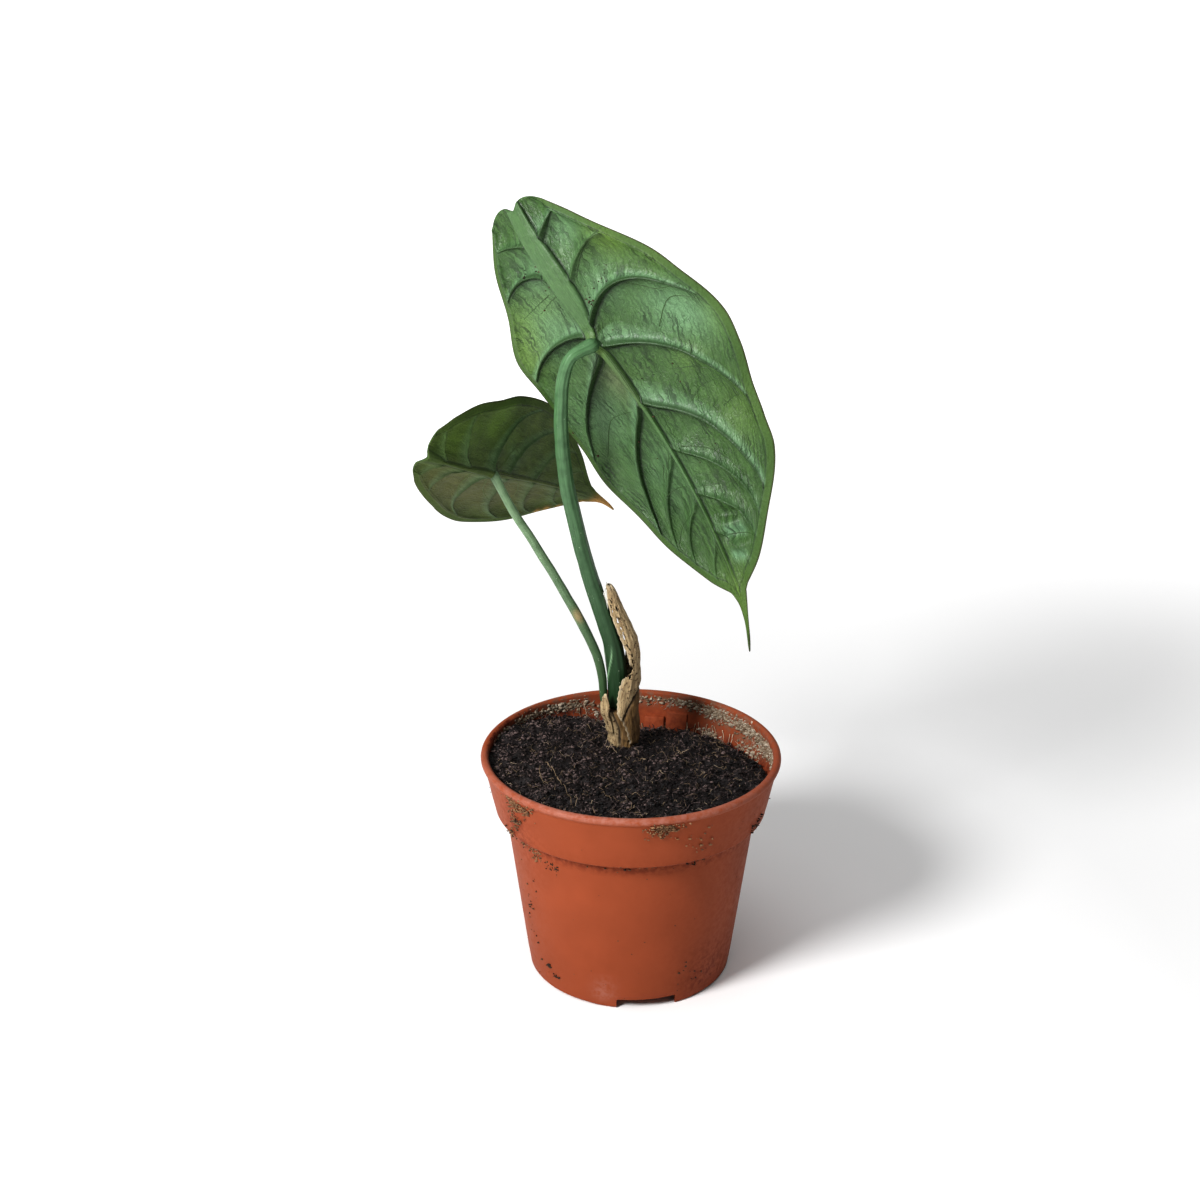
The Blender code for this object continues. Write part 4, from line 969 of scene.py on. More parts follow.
def build_pot(looks):
    """The pot: its wall turned from one outline, then its lugs, drains and foot notches."""
    profile = pot_profile()
    bm = bmesh.new()
    verts = [bm.verts.new((r, 0.0, z)) for r, z in profile]
    edges = [bm.edges.new((a, b)) for a, b in zip(verts, verts[1:] + verts[:1])]
    bmesh.ops.spin(bm, geom=verts + edges, cent=(0, 0, 0), axis=(0, 0, 1),
                   angle=math.tau, steps=looks.sides, use_merge=True)
    bmesh.ops.remove_doubles(bm, verts=bm.verts, dist=0.01)
    body = loose_object("pot_blank", bm)
    bpy.context.scene.collection.objects.link(body)
    combine(body, [lug_tool(*lug) for lug in LUGS], "UNION")
    cutters = [drain_tool(k) for k in range(DRAINS)] + [notch_tool(k) for k in range(NOTCHES)]
    cutters += [ring_tool(k) for k in range(NOTCHES)]
    combine(body, cutters, "DIFFERENCE")
    bm = bmesh.new()
    bm.from_mesh(body.data)
    bpy.data.objects.remove(body)
    layers = [bm.verts.layers.float.new(name) for name in ("residue", "grime_and_shade", "scuff_and_highlight")]
    for vert in bm.verts:
        for layer, value in zip(layers, wall_masks(vert.co)):
            vert[layer] = value
    pot = new_piece("nursery_pot", bm, moulded_polypropylene(looks), ("pot",))
    pot.data.set_sharp_from_angle(angle=math.radians(SHARP_ANGLE))


def build_pot_dirt(looks):
    """Peat crumbs on the outside of the pot, and dried residue on its inner wall."""
    rng = random.Random(SEED)
    parts = []
    for azimuth, height, half, tall, amount, tone in STUCK:
        bm = toned_bmesh()
        for _ in range(int(1.6 * amount)):
            angle = math.radians(azimuth + rng.gauss(0, half * 0.6))
            z = clamp(height + rng.gauss(0, tall * 0.6), 1.5, POT_HEIGHT - 0.6)
            size = rng.uniform(*STUCK_SIZE)
            reach = pot_outside(min(z, POT_HEIGHT - 3.5)) + 0.3 * size
            if z > POT_HEIGHT - 3.0:
                reach = LIP_RADIUS
            crumb(bm, rng, polar(reach, angle, z), size, clamp(tone + rng.gauss(0, 0.22)))
        parts.append(bm)
    for _ in range(7):
        bm = toned_bmesh()
        for _ in range(16):
            angle = rng.uniform(0, math.tau)
            z = rng.uniform(4.0, POT_HEIGHT - 5.0)
            crumb(bm, rng, polar(pot_outside(z), angle, z), rng.uniform(*SPECK_SIZE),
                  rng.uniform(0.0, 0.6))
        parts.append(bm)
    dirt = toned_matter("clinging_peat", looks.speck, looks.crumb, looks.dust, 0.85)
    new_piece("clinging_crumbs", gather(parts), dirt)
    parts = []
    for azimuth, height, half, tall, amount in RESIDUE:
        bm = toned_bmesh()
        for k in range(3 * amount):
            angle = math.radians(azimuth + rng.gauss(0, 0.55 * half))
            z = clamp(height + rng.gauss(0, 0.6 * tall), 60.0, POT_HEIGHT - 0.9)
            place = polar(pot_inside(z) - RESIDUE_PROUD, angle, z)
            if k % 3:
                crumb(bm, rng, place, rng.uniform(*RESIDUE_SIZE), rng.uniform(0.1, 0.9))
            else:
                side = Vector((-math.sin(angle), math.cos(angle), rng.gauss(0, 0.9)))
                path = curled_path(rng, place, side, rng.uniform(1.0, 3.2), 6, 0.35)
                fibre(bm, [hug_wall(p) for p in path], rng.uniform(0.08, 0.14),
                      rng.uniform(0.5, 1.0), 3)
        parts.append(bm)
    crust = toned_matter("dried_residue", looks.crumb, looks.residue, looks.residue_pale, 0.9)
    new_piece("wall_residue", gather(parts), crust)


def hug_wall(point, slack=0.0):
    """Bring a point onto the pot's inner wall, below the lip, unless it lies inside by a slack."""
    z = clamp(point.z, 60.0, POT_HEIGHT - 1.0)
    angle = math.atan2(point.y, point.x)
    wall = pot_inside(z) - RESIDUE_PROUD
    reach = clamp(math.hypot(point.x, point.y), wall - slack, wall)
    return polar(reach, angle, z)


# Soil
def soil_height(x, y):
    """Top of the soil: level round the plant, high to the left, low along the back wall."""
    edge = smooth(SOIL_EDGE, math.degrees(math.atan2(y, x)))
    share = min(math.hypot(x, y) / SOIL_REACH, 1.0) ** 2.2
    return blend(SOIL_MIDDLE, edge, share)


def soil_top(x, y):
    """The soil's height with its lumps and hollows."""
    place = Vector((x, y, 0.0))
    lumps = 1.9 * noise.fractal(place / 4.6, 0.75, 2.1, 3)
    hollow = 1.6 * swell(math.hypot(x - 9.0, y - 13.0), 6.0)
    return soil_height(x, y) + lumps - hollow + 0.45 * noise.noise(place / 1.7)


def disc_place(i, j, steps):
    """Spread a square grid evenly over a disc: radius as a share of one, and azimuth."""
    a = 2.0 * i / steps - 1.0
    b = 2.0 * j / steps - 1.0
    if a == 0.0 and b == 0.0:
        return 0.0, 0.0
    if abs(a) > abs(b):
        radius, azimuth = a, math.pi / 4 * b / a
    else:
        radius, azimuth = b, math.pi / 2 - math.pi / 4 * a / b
    if radius < 0:
        radius, azimuth = -radius, azimuth + math.pi
    return radius, azimuth


def build_soil(looks):
    """A plug of peat that fills the pot, with a lumpy top."""
    bm = toned_bmesh()
    tone = bm.verts.layers.float["tone"]
    for (i, j), vert in grid_sheet(bm, SOIL_STEPS, SOIL_STEPS).items():
        share, azimuth = disc_place(i, j, SOIL_STEPS)
        x = share * SOIL_REACH * math.cos(azimuth)
        y = share * SOIL_REACH * math.sin(azimuth)
        z = soil_top(x, y) if share < 0.999 else soil_height(x, y)
        side = (pot_inside(z) - GAP) / SOIL_REACH
        vert.co = (x * side, y * side, z)
        vert[tone] = 0.35
    shaft = pot_inside(LEDGE - 0.4) - GAP
    floor = FLOOR + GAP
    sides = ((shaft, LEDGE + WALL + 0.2), (shaft, LEDGE - 0.4),
             (pot_inside(floor + 1.2) - GAP, floor + 1.2), (pot_inside(floor) - 2.0, floor))
    edges = [e for e in bm.edges if e.is_boundary]
    for radius, z in sides:
        grown = bmesh.ops.extrude_edge_only(bm, edges=edges)
        edges = [e for e in bm.edges if e.is_boundary]
        for vert in grown_verts(grown):
            vert.co = polar(radius, math.atan2(vert.co.y, vert.co.x), z)
    bmesh.ops.contextual_create(bm, geom=edges)
    bmesh.ops.recalc_face_normals(bm, faces=bm.faces)
    peat = damp_peat(looks)
    new_piece("peat_plug", bm, peat, ("soil",))
    scatter_crumbs(looks, peat)
    scatter_fibres(looks)


def scatter_crumbs(looks, peat):
    """Loose crumbs all over the soil, one in each cell of a shaken grid, and curled shreds."""
    rng = random.Random(SEED + 1)
    pace = looks.crumb_spacing
    count = int(SOIL_REACH / pace)
    parts = []
    for row in range(-count, count + 1):
        bm = toned_bmesh()
        for k in range(-count, count + 1):
            x = (k + 0.5 * (row % 2) + rng.uniform(-0.45, 0.45)) * pace
            y = (row + rng.uniform(-0.45, 0.45)) * pace
            size = pace * rng.choice(CRUMB_SHARES) * rng.uniform(0.8, 1.2)
            z = soil_top(x, y)
            patch = noise.noise(Vector((x / 6.0, y / 6.0, 4.0)))
            proud = z - soil_height(x, y)
            # Crumbs are paler on raised lumps and darker in hollows, painting light and shade over the
            # soil; they also pale to the left and darken to the front
            tone = clamp(rng.gauss(0.44, 0.3) + 0.6 * patch - 0.005 * x + 0.003 * y + 0.2 * proud)
            if math.hypot(x, y) + size > pot_inside(z) - 0.4:
                continue
            if math.hypot(x - CORM[2][1], y - CORM[2][2]) < CORM[2][3]:
                continue
            rise = rng.uniform(0.0, 0.9) * size
            crumb(bm, rng, Vector((x, y, z + rise)), size, tone)
        parts.append(bm)
    new_piece("peat_crumbs", gather(parts), peat)
    parts = []
    for _ in range(looks.curls // 25):
        bm = toned_bmesh()
        for _ in range(25):
            angle = rng.uniform(0, math.tau)
            reach = SOIL_REACH * math.sqrt(rng.uniform(0.0, 0.9))
            x, y = reach * math.cos(angle), reach * math.sin(angle)
            start = Vector((x, y, soil_top(x, y) + rng.uniform(0.3, 0.9)))
            heading = Vector((rng.gauss(0, 1), rng.gauss(0, 1), rng.gauss(0, 0.4)))
            path = curled_path(rng, start, heading, rng.uniform(*CURL_LENGTH), 5, 0.5)
            fibre(bm, path, rng.uniform(*CURL_RADIUS), clamp(rng.gauss(0.7, 0.3)), 3)
        parts.append(bm)
    new_piece("peat_curls", gather(parts), peat)


def scatter_fibres(looks):
    """Roots and fibres that lie on the soil or hang down the inner wall."""
    rng = random.Random(SEED + 2)
    parts = []
    bm = toned_bmesh()
    for start, middle, end in LONG_FIBRES:
        path = []
        for k in range(15):
            spot = bezier(Vector(start), 2 * Vector(middle) - (Vector(start) + Vector(end)) / 2,
                          Vector(end), k / 14)
            lift = 0.9 + 0.25 * math.sin(2.1 * k)
            path.append(Vector((spot.x, spot.y, soil_top(spot.x, spot.y) + lift)))
        fibre(bm, path, LONG_FIBRE_RADIUS, rng.uniform(0.4, 0.65), 5)
    parts.append(bm)
    for _ in range(10):
        bm = toned_bmesh()
        for _ in range(looks.fibres // 10):
            angle = rng.uniform(0, math.tau)
            reach = SOIL_REACH * math.sqrt(rng.uniform(0.0, 0.85))
            start = polar(reach, angle)
            heading = polar(1.0, rng.uniform(0, math.tau))
            path = curled_path(rng, start, heading, rng.uniform(*FIBRE_LENGTH), 8, 0.28)
            path = [Vector((p.x, p.y, soil_top(p.x, p.y) + 0.75 + 0.2 * math.sin(k)))
                    for k, p in enumerate(path) if math.hypot(p.x, p.y) < pot_inside(p.z + 75) - 1.0]
            if len(path) > 3:
                fibre(bm, path, rng.uniform(*FIBRE_RADIUS), clamp(rng.gauss(0.32, 0.25)), 3)
        parts.append(bm)
    bm = toned_bmesh()
    for azimuth in HANGING:
        low = smooth(SOIL_EDGE, azimuth)
        for _ in range(2):
            angle = math.radians(azimuth + rng.uniform(-2, 2))
            z = low + rng.uniform(1.5, 6.0)
            start = polar(pot_inside(z) - 0.4, angle, z)
            heading = Vector((rng.gauss(0, 0.3), rng.gauss(0, 0.3), -1.0)) + 0.25 * polar(-1.0, angle)
            path = curled_path(rng, start, heading, rng.uniform(*ROOT_LENGTH), 9, 0.13)
            fibre(bm, [hug_wall(p, 3.0) for p in path], rng.uniform(*ROOT_RADIUS),
                  rng.uniform(0.55, 0.95), 4)
    parts.append(bm)
    roots = toned_matter("dry_root_fibre", looks.fibre_dark, looks.fibre, looks.fibre_pale, 0.7)
    new_piece("peat_fibres", gather(parts), roots)


# Corm and papery remains
def loft_marked(rings, marks, names):
    """Loft rings whose vertices carry their place along the strands and then named masks."""
    bm = bmesh.new()
    layers = [bm.verts.layers.float.new(name) for name in names]
    strand = bm.verts.layers.float_vector.new("strand")
    for vert, (around, along, *values) in zip(loft(bm, rings), marks):
        vert[strand] = (around, 0.0, along)
        for layer, value in zip(layers, values):
            vert[layer] = value
    bmesh.ops.recalc_face_normals(bm, faces=bm.faces)
    return bm


def build_corm(looks):
    """The papery neck: lengthwise ridges, sunk creases and a collar of old leaf scars."""
    rings = []
    marks = []
    for i in range(CORM_STEPS + 1):
        z = blend(CORM[0][0], CORM[-1][0], i / CORM_STEPS)
        seam = smooth(CORM_SEAM, z)
        centre = Vector((column(CORM, 1, z), column(CORM, 2, z), z))
        ring = []
        for k in range(CORM_SIDES):
            turn = math.tau * k / CORM_SIDES
            azimuth = math.degrees(turn)
            azimuth = azimuth - 360 if azimuth > 180 else azimuth
            around = polar(1.0, turn)
            ridge = abs(noise.noise(around * 3.2 + Vector((0, 0, z / 7.0))))
            flake = noise.noise(around * 1.4 + Vector((5.0, 0, z / 3.0)))
            crack = swell(azimuth - seam, 5.0) * clamp((z - 77.0) / 3.0)
            scar = swell((z - 81.0 - 1.2 * math.sin(2 * turn)) / 1.0, 0.45)
            ring.append(centre + around * (column(CORM, 3, z) + 0.15 + 0.9 * ridge + 0.35 * flake
                                           - 0.9 * crack - 0.2 * scar))
            lower = clamp(0.5 + 0.5 * math.tanh((azimuth - seam) / 6.0))
            # The first mask paints shade in the open seam and in the ring of old leaf scars
            marks.append((turn * 5.0, z, clamp(crack + 0.35 * scar), lower))
        rings.append(ring)
    bm = loft_marked(rings, marks, ("crevice_shade", "lower", "edge"))
    skin = papery_bract("papery_corm_skin", looks, looks.tan_pale, looks.tan_dark)
    new_piece("corm_neck", bm, skin, ("corm",))


def paper_point(table, z, share, height, seed):
    """A point of a papery sheath at a height and a share of its arc, and its azimuth."""
    front = column(table, 5, z) + 5.0 * noise.noise(Vector((z * 0.9, seed, 0.0))) * (1.0 - share)
    azimuth = blend(front, column(table, 6, z), share)
    angle = math.radians(azimuth)
    crease = 0.45 * abs(noise.noise(Vector((angle * 2.2, z / 9.0, SEED))))
    cords = 0.22 * noise.noise(Vector((angle * 9.0, z / 14.0, 3.0)))
    pucker = 0.25 * noise.noise(Vector((angle * 3.0, z / 2.6, 7.0)))
    reach = height + crease + cords + pucker
    return azimuth, Vector((column(table, 1, z) + (column(table, 3, z) + reach) * math.cos(angle),
                            column(table, 2, z) + (column(table, 4, z) + reach) * math.sin(angle), z))


def build_paper(name, table, rows, columns, holes, foot, material, replaced):
    """A thin dry sheath that wraps part of the way round, with torn edges and worn holes."""
    bottom = table[0][0]
    top = table[-1][0]
    bm = bmesh.new()
    height, *layers = [bm.verts.layers.float.new(n) for n in ("height", "crevice_shade", "lower", "edge")]
    strand = bm.verts.layers.float_vector.new("strand")
    for (i, j), vert in grid_sheet(bm, rows, columns).items():
        vert.co = (i, j, 0.0)
    gone = []
    for face in bm.faces:
        middle = face.calc_center_median()
        z = blend(bottom, top, middle.x / rows)
        share = middle.y / columns
        if any(((share - s) / w) ** 2 + ((z - h) / t) ** 2 < 1.0 for h, s, t, w in holes):
            gone.append(face)
    bmesh.ops.delete(bm, geom=gone, context="FACES")
    bmesh.ops.triangulate(bm, faces=bm.faces)
    for vert in bm.verts:
        vert[height] = 0.5 * PAPER
    grown = bmesh.ops.extrude_face_region(bm, geom=bm.faces[:], use_keep_orig=True)
    for vert in grown_verts(grown):
        vert[height] = -0.5 * PAPER
    for vert in bm.verts:
        z = blend(bottom, top, vert.co.x / rows)
        share = vert.co.y / columns
        azimuth, place = paper_point(table, z, share, vert[height], len(name))
        groove = lower = 0.0
        if foot:
            over = z - smooth(SHEATH_FOOT, azimuth)
            groove = swell(over, 0.9)
            lower = clamp(0.5 - 0.5 * math.tanh(over / 0.8))
        vert.co = place - polar(1.0, math.radians(azimuth)) * (0.75 * groove)
        vert[strand] = (math.radians(azimuth) * 5.0, 0.0, z)
        # The first mask paints shade in the crease at the sheath's foot and over the whole inner face
        vert[layers[0]] = clamp(1.1 * groove) if vert[height] > 0 else 0.6
        vert[layers[1]] = lower
        vert[layers[2]] = 0.5 * swell(share, 0.035) + 0.4 * swell((z - top) / 3.0, 0.4)
    bmesh.ops.recalc_face_normals(bm, faces=bm.faces)
    new_piece(name, bm, material, (replaced,))


def build_papers(looks):
    """The dried sheath with its worn holes, the torn scrap and the skin beside them."""
    rng = random.Random(SEED + 3)
    holes = []
    for k in range(15):
        height = blend(106.0, 133.0, k / 14) + rng.uniform(-0.7, 0.7)
        holes.append((height, rng.uniform(0.07, 0.14), rng.uniform(0.5, 1.1), rng.uniform(0.014, 0.03)))
    holes += WORN_HOLES
    skin = papery_bract("dried_leaf_sheath", looks, looks.tan_pale, looks.tan_dark)
    build_paper("dried_leaf_sheath", DRIED_SHEATH, 130, 84, holes, True, skin, "dried_sheath")
    build_paper("torn_sheath_scrap", SHEATH_SCRAP, 40, 20, (), False, skin, "sheath_scrap")
    build_film(looks)


def build_film(looks):
    """The thin whitish skin that is left between the large stalk and the dried sheath."""
    rows, columns = 24, 6
    bm = toned_bmesh()
    sheet = grid_sheet(bm, rows, columns)
    tone = bm.verts.layers.float["tone"]
    for (i, j), vert in sheet.items():
        z = blend(129.0, 139.6, i / rows)
        share = j / columns
        width = 1.7 * math.sin(math.pi * clamp(i / rows + 0.12)) + 0.2
        x = column(DRIED_SHEATH, 1, z) - 0.75 * column(DRIED_SHEATH, 3, z) - width * share
        y = 14.2 - 0.55 * column(DRIED_SHEATH, 4, z) - 0.3 * share
        y += 0.25 * noise.noise(Vector((z, share * 3, 0.0)))
        vert.co = (x, y, z + 0.4 * noise.noise(Vector((share * 5, z, 4.0))))
        vert[tone] = 0.6 + 0.4 * share
    bmesh.ops.solidify(bm, geom=bm.faces[:], thickness=0.14)
    bmesh.ops.recalc_face_normals(bm, faces=bm.faces)
    skin = toned_matter("bleached_membrane", looks.torn, looks.film, looks.film, 0.6)
    new_piece("sheath_film", bm, skin)


# Stalks
def leaf_turn(leaf):
    return Euler([math.radians(a) for a in leaf.turn]).to_matrix()


def stalk_path(rows, end):
    """Evenly spaced centre points and radii on a smooth curve through a table's rows."""
    knots = [Vector(row[:3]) for row in rows] + [end]
    radii = [row[3] for row in rows] + [rows[-1][3]]
    lengths = [0.0]
    for a, b in zip(knots, knots[1:]):
        lengths.append(lengths[-1] + (b - a).length)
    count = round(lengths[-1] / STALK_STEP)
    path = []
    for i in range(count + 1):
        s = lengths[-1] * i / count
        place = Vector([smooth([(d, k[axis]) for d, k in zip(lengths, knots)], s)
                        for axis in range(3)])
        path.append((place, smooth(list(zip(lengths, radii)), s), s, lengths[-1]))
    return path


def build_stalk(name, rows, leaf, sides, edges, scar, material, replaced):
    """A round, faintly ribbed stalk that flares into the underside of its blade."""
    up = leaf_turn(leaf) @ Vector((0, 0, 1))
    end = Vector(leaf.seat) - (leaf.seat_depth - SEAT_SINK) * up
    path = stalk_path(rows, end)
    rings = []
    marks = []
    for i, (centre, radius, s, length) in enumerate(path):
        if i == 0:
            along = Vector((0, 0, 1))
        elif i == len(path) - 1:
            along = up
        else:
            along = (path[i + 1][0] - path[i - 1][0]).normalized()
        across = Vector((0, 1, 0)).cross(along).normalized()
        behind = along.cross(across)
        flare = 1.0 + 0.22 * swell((length - s) / 3.5, 1.0)
        ring = []
        for k in range(sides):
            share = k / sides
            angle = math.tau * share
            ridge = 0.0
            for edge in edges:
                if edge[0][0] - 4.0 < centre.z < edge[-1][0]:
                    fade = clamp((edge[-1][0] - centre.z) / 4.0)
                    ridge = max(ridge, fade * swell(share - smooth(edge, centre.z), 0.012))
            spot = 0.0
            if scar:
                spot = swell(centre.z - scar[0], scar[1]) * swell(share - scar[2], scar[3])
            rib = 0.025 * math.cos(9 * angle) + 0.05 * noise.noise(Vector((share * 9, s / 5, SEED)))
            reach = radius * flare * (1.0 + rib) + 0.42 * ridge + 0.15 * spot
            ring.append(centre + reach * (math.cos(angle) * across + math.sin(angle) * behind))
            marks.append((angle * radius, s, clamp(s / length), ridge, clamp(1.5 * spot)))
        rings.append(ring)
    bm = loft_marked(rings, marks, ("climb", "edge", "scar"))
    new_piece(name, bm, material, (replaced,))


# Blades
def axis_width(leaf, side, x):
    """Half width of the midrib in front of the seat, and of the paired costae behind it."""
    share = leaf.midrib / LARGE.midrib
    if x < 0 and share == 1.0:
        return smooth(COSTA_LEFT if side > 0 else COSTA_RIGHT, x)
    return smooth(MIDRIB, abs(x) / share) * share


def half_width(leaf, side, x):
    """Half width of the blade, and of its drip tip, at a place along it."""
    widths = leaf.left if side > 0 else leaf.right
    if x <= leaf.front:
        return smooth(list(zip(leaf.stations, widths)), x)
    share = (x - leaf.front) / leaf.tip
    return smooth(((0.0, widths[-1]), (0.16, 2.2), (0.4, 1.4), (0.7, 0.9), (1.0, 0.4)), share)


def vein_at(leaf, side, v):
    """Start, end and bow of the vein line at a row, which may lie between two veins."""
    veins = leaf.veins_left if side > 0 else leaf.veins_right
    apex = (leaf.front, leaf.front, leaf.front)
    veins = veins + (apex,)
    k = min(int(v), len(veins) - 2)
    return [blend(a, b, v - k) for a, b in zip(veins[k], veins[k + 1])]


def posterior_row(leaf, side):
    """The rounded end of one back lobe, from the notch to the first station."""
    widths = leaf.left if side > 0 else leaf.right
    lobe = leaf.lobes[0] if side > 0 else leaf.lobes[1]
    notch = Vector((-leaf.back, side * leaf.notch))
    pull = Vector((-leaf.back - lobe, side * 0.62 * widths[0]))
    corner = Vector((leaf.stations[0], side * widths[0]))
    middle = Vector((-leaf.back + 0.5 * leaf.notch, 0.0))
    points = []
    for k in range(AXIS_COLUMNS):
        t = k / AXIS_COLUMNS
        if t < 0.55:
            points.append(middle.lerp(notch, t / 0.55))
        else:
            points.append(bezier(notch, pull, corner, 0.14 * (t - 0.55) / 0.45))
    for k in range(LAMINA_COLUMNS + 1):
        points.append(bezier(notch, pull, corner, blend(0.14, 0.92, k / LAMINA_COLUMNS)))
    for k in range(MARGIN_COLUMNS):
        points.append(bezier(notch, pull, corner, blend(0.92, 1.0, (k + 1) / MARGIN_COLUMNS)))
    return points


def half_row(leaf, side, v):
    """Flat points of half a row, from the blade's axis out to the margin."""
    last = len(leaf.veins_left)
    if v < 0:
        return [a.lerp(b, v + 1.0) for a, b in zip(posterior_row(leaf, side), half_row(leaf, side, 0))]
    if v > last:
        x = leaf.front + leaf.tip * (v - last)
        start = end = pull = x
    else:
        start, end, pull = vein_at(leaf, side, v)
        x = (vein_at(leaf, 1, v)[0] + vein_at(leaf, -1, v)[0]) / 2
    width = half_width(leaf, side, end)
    inset = EDGE_INSET * min(1.0, width / 12.0) if width > 3.0 else 0.0
    inner = width if width < SLIM else axis_width(leaf, side, start)
    middle = Vector((x, 0.0))
    foot = Vector((start, side * inner))
    rim = Vector((end, side * (width - inset)))
    bend = Vector((pull, side * blend(inner, width - inset, smooth(VEIN_LIFT, start))))
    spread = int(clamp((width - inset - inner) / 0.25, 1, LAMINA_COLUMNS))
    margin_x = min(end + 1.0, max(end, leaf.front))
    edge = Vector((margin_x, side * half_width(leaf, side, margin_x)))
    points = [middle.lerp(foot, k / AXIS_COLUMNS) for k in range(AXIS_COLUMNS)]
    for k in range(LAMINA_COLUMNS + 1):
        share = k / LAMINA_COLUMNS
        if spread < LAMINA_COLUMNS:
            share = math.ceil(share * spread - 0.001) / spread
        points.append(bezier(foot, bend, rim, share))
    return points + [rim.lerp(edge, (k + 1) / MARGIN_COLUMNS) for k in range(MARGIN_COLUMNS)]


def leaf_form(leaf, p):
    """Fold, cup and arch the flat leaf; p.z is the height above its upper face."""
    x, y, z = p
    over = max(x - leaf.front, 0.0)
    spread = math.sqrt(y * y + 9.0) - 3.0
    fold = math.radians(leaf.fold)
    lift = spread * math.sin(fold) + leaf.cup * y * y + z
    side = math.copysign(spread * math.cos(fold), y)
    side = blend(y, side, min(abs(y) / 6.0, 1.0))
    side += leaf.tip_hook * over ** 2 + leaf.sweep * max(x, 0.0) ** 2
    bend = leaf.arch_front if x > 0 else leaf.arch_back
    angle = bend * x + leaf.tip_curl * over ** 2
    ahead = math.sin(bend * x) / bend
    drop = (1.0 - math.cos(bend * x)) / bend + leaf.tip_curl * over ** 3 / 3.0
    return Vector((ahead + lift * math.sin(angle), side, lift * math.cos(angle) - drop))


def axis_rib(leaf, side, place, toward):
    """How far the midrib, the costae behind the seat and the seat itself stand down."""
    seat = leaf.seat_depth - BLADE
    share = leaf.midrib / LARGE.midrib
    root = seat * min(1.0, 1.35 * swell(place.length, 1.5 * leaf.midrib))
    if toward >= 1.0:
        return root
    x = place.x
    inside = (1.0 - toward) * axis_width(leaf, side, x)
    if x > 0 or share < 1.0:
        height = smooth(MIDRIB_HEIGHT, abs(x) / share) * (1.0 - 0.25 * toward ** 2)
    else:
        height = smooth(COSTA_HEIGHT, x / share)
        if side < 0:
            near = swell((x + 10.0) / 9.0, 1.0)
            height += near * (0.4 * swell(inside - 0.9, 0.6) - 0.35 * swell(inside - 2.2, 0.7))
    return max(root, share * height * clamp(inside / 0.5))


def side_veins(leaf, side, v, share, gap):
    """Rise of the side veins at a point, then the nearest one's distance in widths and force."""
    strengths = leaf.strength_left if side > 0 else leaf.strength_right
    k = math.floor(v)
    rise = 0.0
    near = (8.0, 0.0, 0.5)
    for number, away in ((k, (v - k) * gap), (k + 1, (k + 1 - v) * gap)):
        if 0 <= number < len(strengths):
            force = strengths[number]
            width = (0.42 + 0.9 * (1.0 - share) ** 2.5) * (0.6 + 0.4 * force)
            rise += leaf.rib * blend(1.4, 0.5, share) * force * swell(away, width)
            if away / width < near[0]:
                near = (away / width, min(force, 1.0), 0.5 if away == 0.0 else float(number == k))
    return rise, near


def blotch(place, spots):
    """Sum of soft round patches (x, y, radius, strength) at a place on the flat leaf."""
    return clamp(sum(s * swell((place - Vector((x, y))).length, r) for x, y, r, s in spots))


# What the blades' shader reads at each point: distances to ribs and margin, and patches
BLADE_MASKS = ("off", "force", "after", "axis", "costa", "edged", "groove", "rim", "below",
               "warm", "dull", "silver_and_sheen", "burnt")


@dataclass
class Patches:
    """Where a blade is yellow-green, dull, silvery with painted sheen, or burnt: x, y, radius and
    strength.
    """

    warm: tuple
    dull: tuple
    silver_and_sheen: tuple
    burnt: tuple


LARGE_PATCHES = Patches(
    warm=((-26, -29, 8, 0.6), (-12, -40, 7, 0.4), (-18, 28, 9, 0.5), (-8, 34, 8, 0.5),
          (12, -46, 8, 0.4), (20, -26, 6, 0.25), (45, -34, 10, 0.3), (0, 0, 4.5, 0.7), (-20, 14, 5, 0.3),
          (104, 0, 14, 0.9)),
    dull=((10, 8, 7, 0.75), (18, 6, 8, 0.5), (12, 22, 9, 0.25)),
    # The silvery patches hold painted sheen, and the four small ones by the tip paint highlights on the
    # ripples
    silver_and_sheen=((4, -30, 10, 0.45), (12, -36, 8, 0.4), (-36, -14, 7, 0.35), (-14, -16, 7, 0.45),
            (76, -7, 2.2, 1.0), (77, -11, 2.2, 1.0), (84, -5, 2.0, 0.9),
            (85, -8.5, 2.0, 0.9), (-30, 10, 9, 0.35), (-10, 18, 12, 0.45), (20, 24, 12, 0.4),
            (48, 12, 16, 0.25)),
    burnt=())
SMALL_PATCHES = Patches(
    warm=((-15, -16, 6, 0.6), (0, -23, 6, 1.0), (-4, -17, 4, 0.9), (11, -14, 4, 0.6), (-24, -11, 6, 0.6),
          (3, -26, 5, 0.7), (-30, -8, 6, 0.4)),
    dull=((-24, 9, 9, 0.7), (-10, 13, 12, 0.9), (8, 14, 13, 1.0), (26, 13, 12, 0.9), (42, 10, 10, 0.7)),
    silver_and_sheen=((13, -10, 3, 0.3), (15, -6, 3, 0.3)),
    burnt=((73, 3, 3.6, 1.0), (68, 6.5, 2.2, 0.9), (56, 15.5, 1.5, 0.9), (53, 18, 1.3, 0.9),
           (60, 12.5, 1.2, 0.7), (80, 0, 6, 1.0)))


